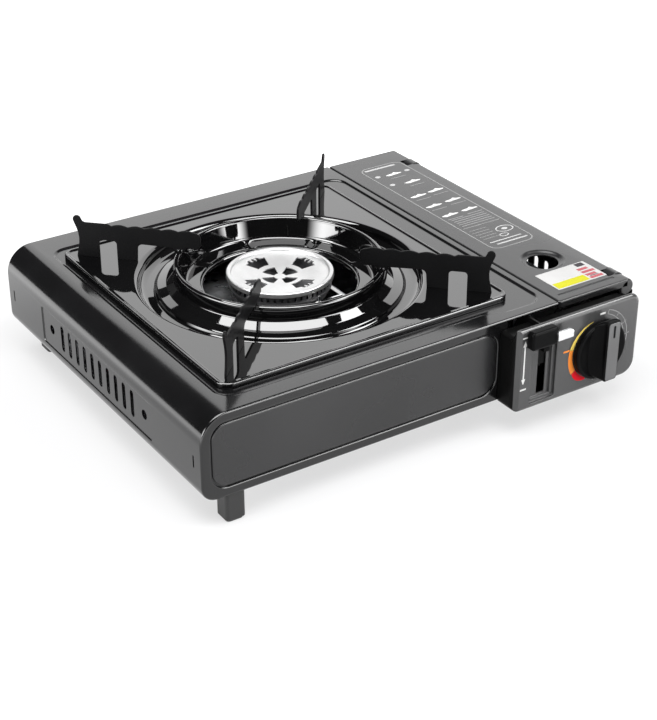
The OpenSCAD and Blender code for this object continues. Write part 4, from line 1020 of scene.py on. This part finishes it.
HEAD = (239.0, 68.5, 262.0, 82.0, 2.5)
HEAD_SECTION = [(0.0, 0.7), (0.0, 4.4), (-0.3, 5.3), (-1.0, 5.9), (-1.9, 6.1)]
TAB = (259.5, 71.6, 273.0, 77.2, 0.9)
TAB_SECTION = [(0.0, 4.6), (0.0, 7.9), (-0.25, 8.3), (-0.7, 8.5)]
NECK = (LEVER_X - 2.6, 62.0, LEVER_X + 2.6, 71.0, 0.6)
NECK_SECTION = [(0.0, -4.2), (0.0, 1.0)]


def make_block(name, plan, section, slot_name, body, replaced=()):
    """A block that rises from the cover's face towards the front, with rounded edges."""
    sheet = Sheet()
    sheet.close(sheet.pressed(rounded(*plan, steps=5), section, on_face))
    stand(name, sheet, slot_name, body, replaced)


def make_lever():
    make_block("lever_block", HEAD, HEAD_SECTION, "knob_plastic", "lever", ("lever_head",))
    make_block("lever_tab", TAB, TAB_SECTION, "bright_steel", "lever")
    make_block("lever_neck", NECK, NECK_SECTION, "knob_plastic", "lever")


KNOB_DISC = [(3.2, 0.5), (21.4, 0.5), (22.0, 1.1), (22.0, 3.8), (21.7, 4.5), (21.1, 4.9),
             (20.4, 5.0), (19.6, 4.9), (18.6, 4.5), (16.0, 4.0), (11.0, 3.6), (2.0, 3.4)]
KNOB_STEPS = 96
GRIP = (299.4, 29.6, 311.2, 75.6, 2.0)
GRIP_FLARE = (-9.0, 1.6, 3.0, -4.4, 6.0)        # what is added to GRIP where it meets the disc
GRIP_BASE = 3.0
GRIP_FRONT = 12.2
GRIP_LEVELS = 12
GRIP_EDGE = [(-0.15, 0.35), (-0.5, 0.62), (-1.1, 0.78)]
STRIP_INSET = (1.0, 1.0, -1.0, -1.0, -0.4)      # what is added to GRIP for the strip on it
POINTER = (304.4, 63.1, 306.2, 72.6, 0.7)


def make_knob():
    """Dished disc with a grip whose left flank is scooped out."""
    sheet = Sheet()
    sheet.close(sheet.turned(KNOB_X, KNOB_Z, KNOB_DISC, on_face, KNOB_STEPS))
    stand("knob_disc", sheet, "knob_plastic", "knob_set", ("control_knob",))
    grip = Sheet()
    loops = []
    for share in [i / GRIP_LEVELS for i in range(GRIP_LEVELS + 1)]:
        out = GRIP_BASE + (GRIP_FRONT - GRIP_BASE) * share
        flare = (1 - share) ** 2.4
        plan = rounded(*(a + flare * b for a, b in zip(GRIP, GRIP_FLARE)), steps=8)
        loops.append(grip.ring(plan, on_face, out))
    for inset, out in GRIP_EDGE:
        plan = grown(rounded(*GRIP, steps=8), inset)
        loops.append(grip.ring(plan, on_face, GRIP_FRONT + out))
    grip.bands(loops)
    grip.fill(loops[-1])
    stand("knob_grip", grip, "knob_plastic", "knob_set")
    front = GRIP_FRONT + GRIP_EDGE[-1][1]
    strip = tuple(a + b for a, b in zip(GRIP, STRIP_INSET))
    make_block("knob_strip", strip, [(0.0, front - 0.5), (0.0, front + 0.15),
                                     (-0.15, front + 0.3)], "strip_satin", "knob_set")
    make_block("knob_pointer", POINTER, [(0.0, front), (0.0, front + 0.36)], "knob_plastic",
               "knob_set")


make_cover()
make_guide()
make_lever()
make_knob()

# ---- prints and label ----

PRINT = 0.06                # thickness of the ink
SINK = -0.02                # how far the ink reaches into what it is printed on
FILM = 0.12                 # thickness of the label
LABEL = (293.8, 14.2, 337.8, 40.6)
BORDER = (296.6, 89.6, 336.5, 267.0, 8.0)
BORDER_LINE = -0.95
MARKS = [(317.4, 246.2), (321.4, 226.0), (308.4, 200.0), (326.2, 201.6), (307.2, 178.0),
         (326.4, 179.4), (307.4, 157.5), (326.4, 158.5)]
MARK_RULE = (-7.0, -7.4, 7.0, -6.6)     # the fine rule before each mark, from the mark's middle
BLOT_HALF = (7.6, 1.35)     # half a mark's length and width
BLOT_TAIL = (0.8, -4.2, 2.2)            # height, place and spread of a mark's two swellings
BLOT_HUMP = (1.7, 1.6, 1.5)
SPOTS = [(331.0, 246.9), (302.8, 247.5), (303.8, 228.5)]
SPOT_SIZE = (2.4, 1.9, 16)
# Left and right ends and height of plain rows, and where the rows lie
ROWS = [(301.5, 332.5, 0.9, (147.6, 144.4, 141.2, 138.0, 134.8)),
        (300.5, 316.0, 0.6, (124.6, 120.4, 116.2, 112.0, 107.8)), (299.5, 333.5, 0.8, (130.6,))]
PALE_BARS = [(300.5, 261.0, 329.5, 263.4), (301.5, 100.4, 330.5, 101.6),
             (304.5, 95.6, 332.5, 97.2)]
RINGS = [(326.5, 115.8, 7.6, 5.2, 0.9), (319.5, 107.2, 4.0, 2.6, 0.8)]
RING_SPOT = (326.5, 115.8, 2.6, 1.8, 20)
LABEL_BLOCKS = {"label_yellow": [(295.0, 15.4, 323.3, 23.4)],
                "label_red": [(324.8, 15.6, 336.2, 18.6), (324.8, 20.2, 333.7, 23.2),
                              (324.8, 24.8, 336.2, 27.8), (324.8, 29.4, 333.7, 32.4)],
                "label_dark": [(328.3, 34.8, 335.2, 39.7), (326.8, 19.1, 334.3, 19.8)]}


def lay(sheet, surface, paths, low=SINK, high=PRINT):
    """A thin closed plate on a surface: the first path is its outline, the rest are holes."""
    under, over = [[sheet.ring(path, surface, level) for path in paths] for level in (low, high)]
    for first, second in zip(under, over):
        sheet.band(first, second)
    sheet.fill(under[0], under[1:])
    sheet.fill(over[0], over[1:])


def bar(x0, y0, x1, y1):
    return [(x0, y0), (x1, y0), (x1, y1), (x0, y1)]


def printed(name, surface, slot_name, body, shapes):
    """One ink on one surface: each shape is a list of an outline and its holes."""
    sheet = Sheet()
    for paths in shapes:
        lay(sheet, surface, paths)
    stand(name, sheet, slot_name, body)


def swelling(u, height, centre, spread):
    return height * math.exp(-((u - centre) / spread) ** 2)


def blot(x, y, steps=26):
    """A plain long mark, thick at its left end, with a hump in the middle."""
    lower = []
    upper = []
    for k in range(steps + 1):
        u = -BLOT_HALF[0] * math.cos(math.pi * k / steps)
        side = BLOT_HALF[1] * math.sin(math.pi * k / steps)
        lower.append((x + u, y - side - swelling(u, *BLOT_TAIL)))
        upper.append((x + u, y + side + swelling(u, *BLOT_HUMP)))
    return lower + upper[-2:0:-1]


def ringed(x, y, half_x, half_y, line):
    """An ellipse drawn as a line."""
    return [ellipse(x, y, half_x - inset, half_y - inset, 40) for inset in (0, line)]


def make_lid_prints():
    """A ruled border with plain rows of marks, in the place of the printed panel."""
    outer = rounded(*BORDER, steps=8)
    x0, y0, x1, y1 = MARK_RULE
    rules = [bar(x + x0, y + y0, x + x1, y + y1) for x, y in MARKS]
    for left, right, height, places in ROWS:
        rules += [bar(left, y, right, y + height) for y in places]
    lines = [[outer, grown(outer, BORDER_LINE)]] + [[path] for path in rules]
    printed("lid_rules", on_top, "ink_grey", "lid", lines)
    printed("lid_marks", on_top, "ink_white", "lid", [[blot(x, y)] for x, y in MARKS])
    pale = [[ellipse(x, y, *SPOT_SIZE)] for x, y in SPOTS]
    pale += [[bar(*ends)] for ends in PALE_BARS]
    pale += [ringed(*values) for values in RINGS] + [[ellipse(*RING_SPOT)]]
    printed("lid_notes", on_top, "ink_pale", "lid", pale)


def make_label():
    """A plain label with blocks of colour."""
    sheet = Sheet()
    lay(sheet, on_top, [rounded(*LABEL, 0.8, 4)], high=FILM)
    stand("label_sheet", sheet, "label_film", "lid", ("lid_label",))
    for name, bars in LABEL_BLOCKS.items():
        sheet = Sheet()
        for ends in bars:
            lay(sheet, on_top, [bar(*ends)], FILM + SINK, FILM + PRINT)
        stand(name, sheet, name, "lid")


ARROW_X = 237.7
ARROW_LOW = 41.3
ARROW_HIGH = 74.8
ARROW_HEAD = 4.2
ARROW_SHAFT = 0.55          # half the shaft's width
ARROW_WING = 1.7            # half the head's width
FACE_BARS = [(235.4, 76.7, 241.0, 77.7), (235.4, 36.8, 240.6, 38.0), (303.2, 75.6, 308.0, 77.0),
             (300.6, 25.8, 304.4, 27.0)]
TICK = (272.2, 55.0, 277.4, 56.4)
HEAT_IN = 22.4              # inner radius of the heat crescent
# The crescent's parts by ink: first and last angle, and width by the share of the way
HEAT = {"yellow": (104, 168, lambda s: 0.25 + 2.9 * s),
        "orange": (168.5, 212, lambda s: 3.2 + 1.2 * s),
        "red": (213, 246, lambda s: 4.6 * math.sin(math.pi * (0.3 + 0.6 * s)))}
SCALE_STEPS = (52, 30, 8)
SCALE_LINE = -0.6


def arrow_path():
    """A double arrow, from its lower tip up the right side and down the left."""
    low = ARROW_LOW + ARROW_HEAD
    high = ARROW_HIGH - ARROW_HEAD
    side = [(ARROW_WING, low), (ARROW_SHAFT, low), (ARROW_SHAFT, high), (ARROW_WING, high)]
    return ([(ARROW_X, ARROW_LOW)] + [(ARROW_X + x, z) for x, z in side]
            + [(ARROW_X, ARROW_HIGH)] + [(ARROW_X - x, z) for x, z in reversed(side)])


def knob_sector(inner, outer, first, last, steps=24):
    """Part of a ring round the knob; inner and outer give the radius by the share of the way."""
    sides = ([], [])
    for share in [k / steps for k in range(steps + 1)]:
        angle = math.radians(first + (last - first) * share)
        for path, radius in zip(sides, (outer(share), inner(share))):
            path.append((KNOB_X + radius * math.cos(angle), KNOB_Z + radius * math.sin(angle)))
    return sides[0] + sides[1][::-1]


def make_face_prints():
    """Arrow beside the lever, heat crescent and scale round the knob."""
    printed("face_white", on_face, "ink_white", "stove_body",
            [[arrow_path()]] + [[bar(*ends)] for ends in FACE_BARS])

    for ink, (first, last, width) in HEAT.items():
        crescent = knob_sector(lambda s: HEAT_IN, lambda s: HEAT_IN + width(s), first, last)
        extra = [[bar(*TICK)]] if ink == "orange" else []
        printed("heat_" + ink, on_face, "ink_" + ink, "stove_body", [[crescent], *extra])
    wide = knob_sector(lambda s: 25.2 - 2.4 * s,
                       lambda s: 29.0 + 1.2 * math.sin(math.pi * s) - 4.5 * s, 74, -28, 40)[::-1]
    scale = [[wide, grown(wide, SCALE_LINE)]]
    for angle in SCALE_STEPS:
        step = knob_sector(lambda s: 25.0, lambda s: 29.2, angle, angle + 1.0, 2)
        scale.append([step[::-1]])
    printed("face_scale", on_face, "ink_grey", "stove_body", scale)


make_lid_prints()
make_label()
make_face_prints()

# ---- CAD nodes with softened edges ----

SOFTENED = {"foot_front_left": 1.2, "foot_front_right": 1.2, "foot_rear_left": 1.2,
            "foot_rear_right": 1.2, "hinge_front": 0.4, "hinge_rear": 0.4}


def soften(name, width):
    """A CAD node with merged flats and small rounded edges, in the node's place."""
    builder = bmesh.new()
    builder.from_mesh(frame["nodes"][name].data)
    bmesh.ops.remove_doubles(builder, verts=builder.verts, dist=MERGE)
    bmesh.ops.dissolve_limit(builder, angle_limit=math.radians(0.6), verts=builder.verts,
                             edges=builder.edges)
    mesh = mesh_from(name + "_soft", builder)
    piece = dress(name + "_soft", mesh, SLOT_OF[name], BODY_OF[name], (name,))
    round_over(piece, width, 32)


for softened, edge_width in SOFTENED.items():
    soften(softened, edge_width)

# ---- camera ----

CAMERA_AT = place(-396.6, -747.3, 597.4)
CAMERA_TURN = math.radians(-33.24)      # about the vertical, from looking along +Y
CAMERA_DIP = math.radians(29.27)        # below the horizontal
CAMERA_ROLL = math.radians(-0.09)
CAMERA_LENS = 89.85
SENSOR_WIDTH = 36.0
UP = Vector((0, 0, 1))


def make_camera():
    """The photograph's viewing angle; returns the direction it looks in."""
    data = bpy.data.cameras.new("camera")
    data.lens = CAMERA_LENS
    data.sensor_width = SENSOR_WIDTH
    data.sensor_fit = "HORIZONTAL"
    data.clip_start = 0.05
    camera = linked("camera", data)
    forward = Vector((-math.sin(CAMERA_TURN) * math.cos(CAMERA_DIP),
                      math.cos(CAMERA_TURN) * math.cos(CAMERA_DIP), -math.sin(CAMERA_DIP)))
    right = forward.cross(UP).normalized()
    up = right.cross(forward)
    right_rolled = right * math.cos(CAMERA_ROLL) + up * math.sin(CAMERA_ROLL)
    up_rolled = up * math.cos(CAMERA_ROLL) - right * math.sin(CAMERA_ROLL)
    axes = Matrix((right_rolled, up_rolled, -forward)).transposed()
    camera.matrix_world = Matrix.Translation(CAMERA_AT) @ axes.to_4x4()
    bpy.context.scene.camera = camera
    return forward


VIEW = make_camera()

# ---- studio, in metres ----

VIEW_FLAT = Vector((VIEW.x, VIEW.y, 0)).normalized()
VIEW_SIDE = Vector((VIEW_FLAT.y, -VIEW_FLAT.x, 0))      # to the right in the picture
AIM = Vector((0, 0, 0.08))              # what the lights point at
FLOOR_GREY = (0.16, 0.16, 0.162, 1)
FLOOR_NEAR = 0.62           # the floor's glow beside the stove, low there as a painted shadow, and further away
FLOOR_FAR = 2.6
FLOOR_HALF = 6.0
DOME_RADIUS = 9.0
DOME_LIGHT = 1.2
WORLD_LIGHT = 0.03


def stage_mesh(name, half_x, half_y, material):
    """A flat rectangle of the stage round its own middle."""
    corners = [(x, y, 0) for x, y in bar(-half_x, -half_y, half_x, half_y)]
    mesh = bpy.data.meshes.new(name)
    mesh.from_pydata(corners, [], [(0, 1, 2, 3)])
    mesh.materials.append(material)
    piece = linked(name, mesh)
    return piece


def glow(name, radiance):
    """An even emitter."""
    material = bpy.data.materials.new(name)
    material.use_nodes = True
    tree = material.node_tree
    tree.nodes.clear()
    output = tree.nodes.new("ShaderNodeOutputMaterial")
    emission = node(tree, "ShaderNodeEmission", Strength=radiance)
    tree.links.new(emission.outputs["Emission"], output.inputs["Surface"])
    return material


def faded(tree, source, start, end, low, high):
    """A smooth step of a distance from low at its start to high at its end."""
    fade = node(tree, "ShaderNodeMapRange", From_Min=start, From_Max=end, To_Min=low, To_Max=high)
    fade.interpolation_type = "SMOOTHSTEP"
    tree.links.new(source, fade.inputs["Value"])
    return fade.outputs["Result"]


def operate(tree, kind, operation):
    """A node that applies one operation."""
    made = tree.nodes.new(kind)
    made.operation = operation
    return made


def make_floor():
    """A plain pale floor that glows, dimmer beside the stove as a painted shadow and brighter away
    from it.
    """
    tree, shader = new_material("floor")
    preset(shader, Base_Color=FLOOR_GREY, Roughness=0.9, Specular_IOR_Level=0.1,
           Emission_Color=WHITE)
    distance = located(tree, operate(tree, "ShaderNodeVectorMath", "LENGTH"))
    fade = faded(tree, distance.outputs["Value"], 0.26, 0.58, FLOOR_NEAR, FLOOR_FAR)
    tree.links.new(fade, shader.inputs["Emission Strength"])
    stage_mesh("floor", FLOOR_HALF, FLOOR_HALF, FINISHES["floor"])


def make_dome():
    """A white surround that only the camera sees."""
    builder = bmesh.new()
    bmesh.ops.create_icosphere(builder, subdivisions=4, radius=DOME_RADIUS)
    mesh = mesh_from("surround", builder)
    mesh.materials.append(glow("surround_white", DOME_LIGHT))
    piece = linked("surround", mesh)
    for ray in ("glossy", "diffuse", "shadow", "transmission", "volume_scatter"):
        setattr(piece, "visible_" + ray, False)


def aimed(ahead, side, height):
    """Axes of a light that points at the aim; ahead and side follow the camera."""
    position = VIEW_FLAT * ahead + VIEW_SIDE * side + Vector((0, 0, height))
    z_axis = (position - AIM).normalized()
    x_axis = UP.cross(z_axis).normalized()
    axes = Matrix((x_axis, z_axis.cross(x_axis), z_axis)).transposed()
    return Matrix.Translation(position) @ axes.to_4x4()


def make_panel(name, where, width, depth, radiance):
    """A soft box."""
    light = bpy.data.lights.new(name, "AREA")
    light.shape = "RECTANGLE"
    light.size = width
    light.size_y = depth
    light.energy = radiance * math.pi * width * depth
    linked(name, light).matrix_world = aimed(*where)


def make_strip(name, where, width, depth, radiance):
    """A glowing card that fades towards its edges, seen only in reflections."""
    material = glow(name + "_glow", radiance)
    tree = material.node_tree
    split = located(tree, tree.nodes.new("ShaderNodeSeparateXYZ"))
    both = operate(tree, "ShaderNodeMath", "MULTIPLY")
    for axis, half in enumerate((width / 2, depth / 2)):
        size = operate(tree, "ShaderNodeMath", "ABSOLUTE")
        tree.links.new(split.outputs[axis], size.inputs[0])
        fade = faded(tree, size.outputs[0], half, half * 0.25, 0.0, 1.0)
        tree.links.new(fade, both.inputs[axis])
    strength = node(tree, "ShaderNodeMapRange", To_Max=radiance)
    tree.links.new(both.outputs[0], strength.inputs["Value"])
    tree.links.new(strength.outputs["Result"], tree.nodes["Emission"].inputs["Strength"])
    card = stage_mesh(name, width / 2, depth / 2, material)
    card.matrix_world = aimed(*where)
    card.visible_camera = False
    card.visible_shadow = False


# What makes a light, its name, its place (ahead, side, height), width, depth and radiance
LIGHTS = [(make_panel, "back_panel", (3.0, 0.3, 1.35), 4.2, 2.2, 1.85),
          (make_panel, "top_box", (-0.45, -0.2, 1.82), 2.25, 1.2, 10.0),
          (make_strip, "left_strip", (-1.0, -1.7, 0.55), 2.2, 1.3, 13.0),
          (make_strip, "right_strip", (-1.1, 1.7, 0.55), 1.5, 1.3, 13.0),
          (make_panel, "right_top", (-0.1, 1.6, 1.5), 1.0, 0.9, 13.0)]


def make_world():
    world = bpy.data.worlds.new("studio")
    bpy.context.scene.world = world
    world.use_nodes = True
    preset(world.node_tree.nodes["Background"], Color=WHITE, Strength=WORLD_LIGHT)


make_floor()
make_dome()
make_world()
for make_light, *light_values in LIGHTS:
    make_light(*light_values)
bpy.context.scene.view_settings.view_transform = "Standard"
bpy.context.scene.view_settings.look = "None"
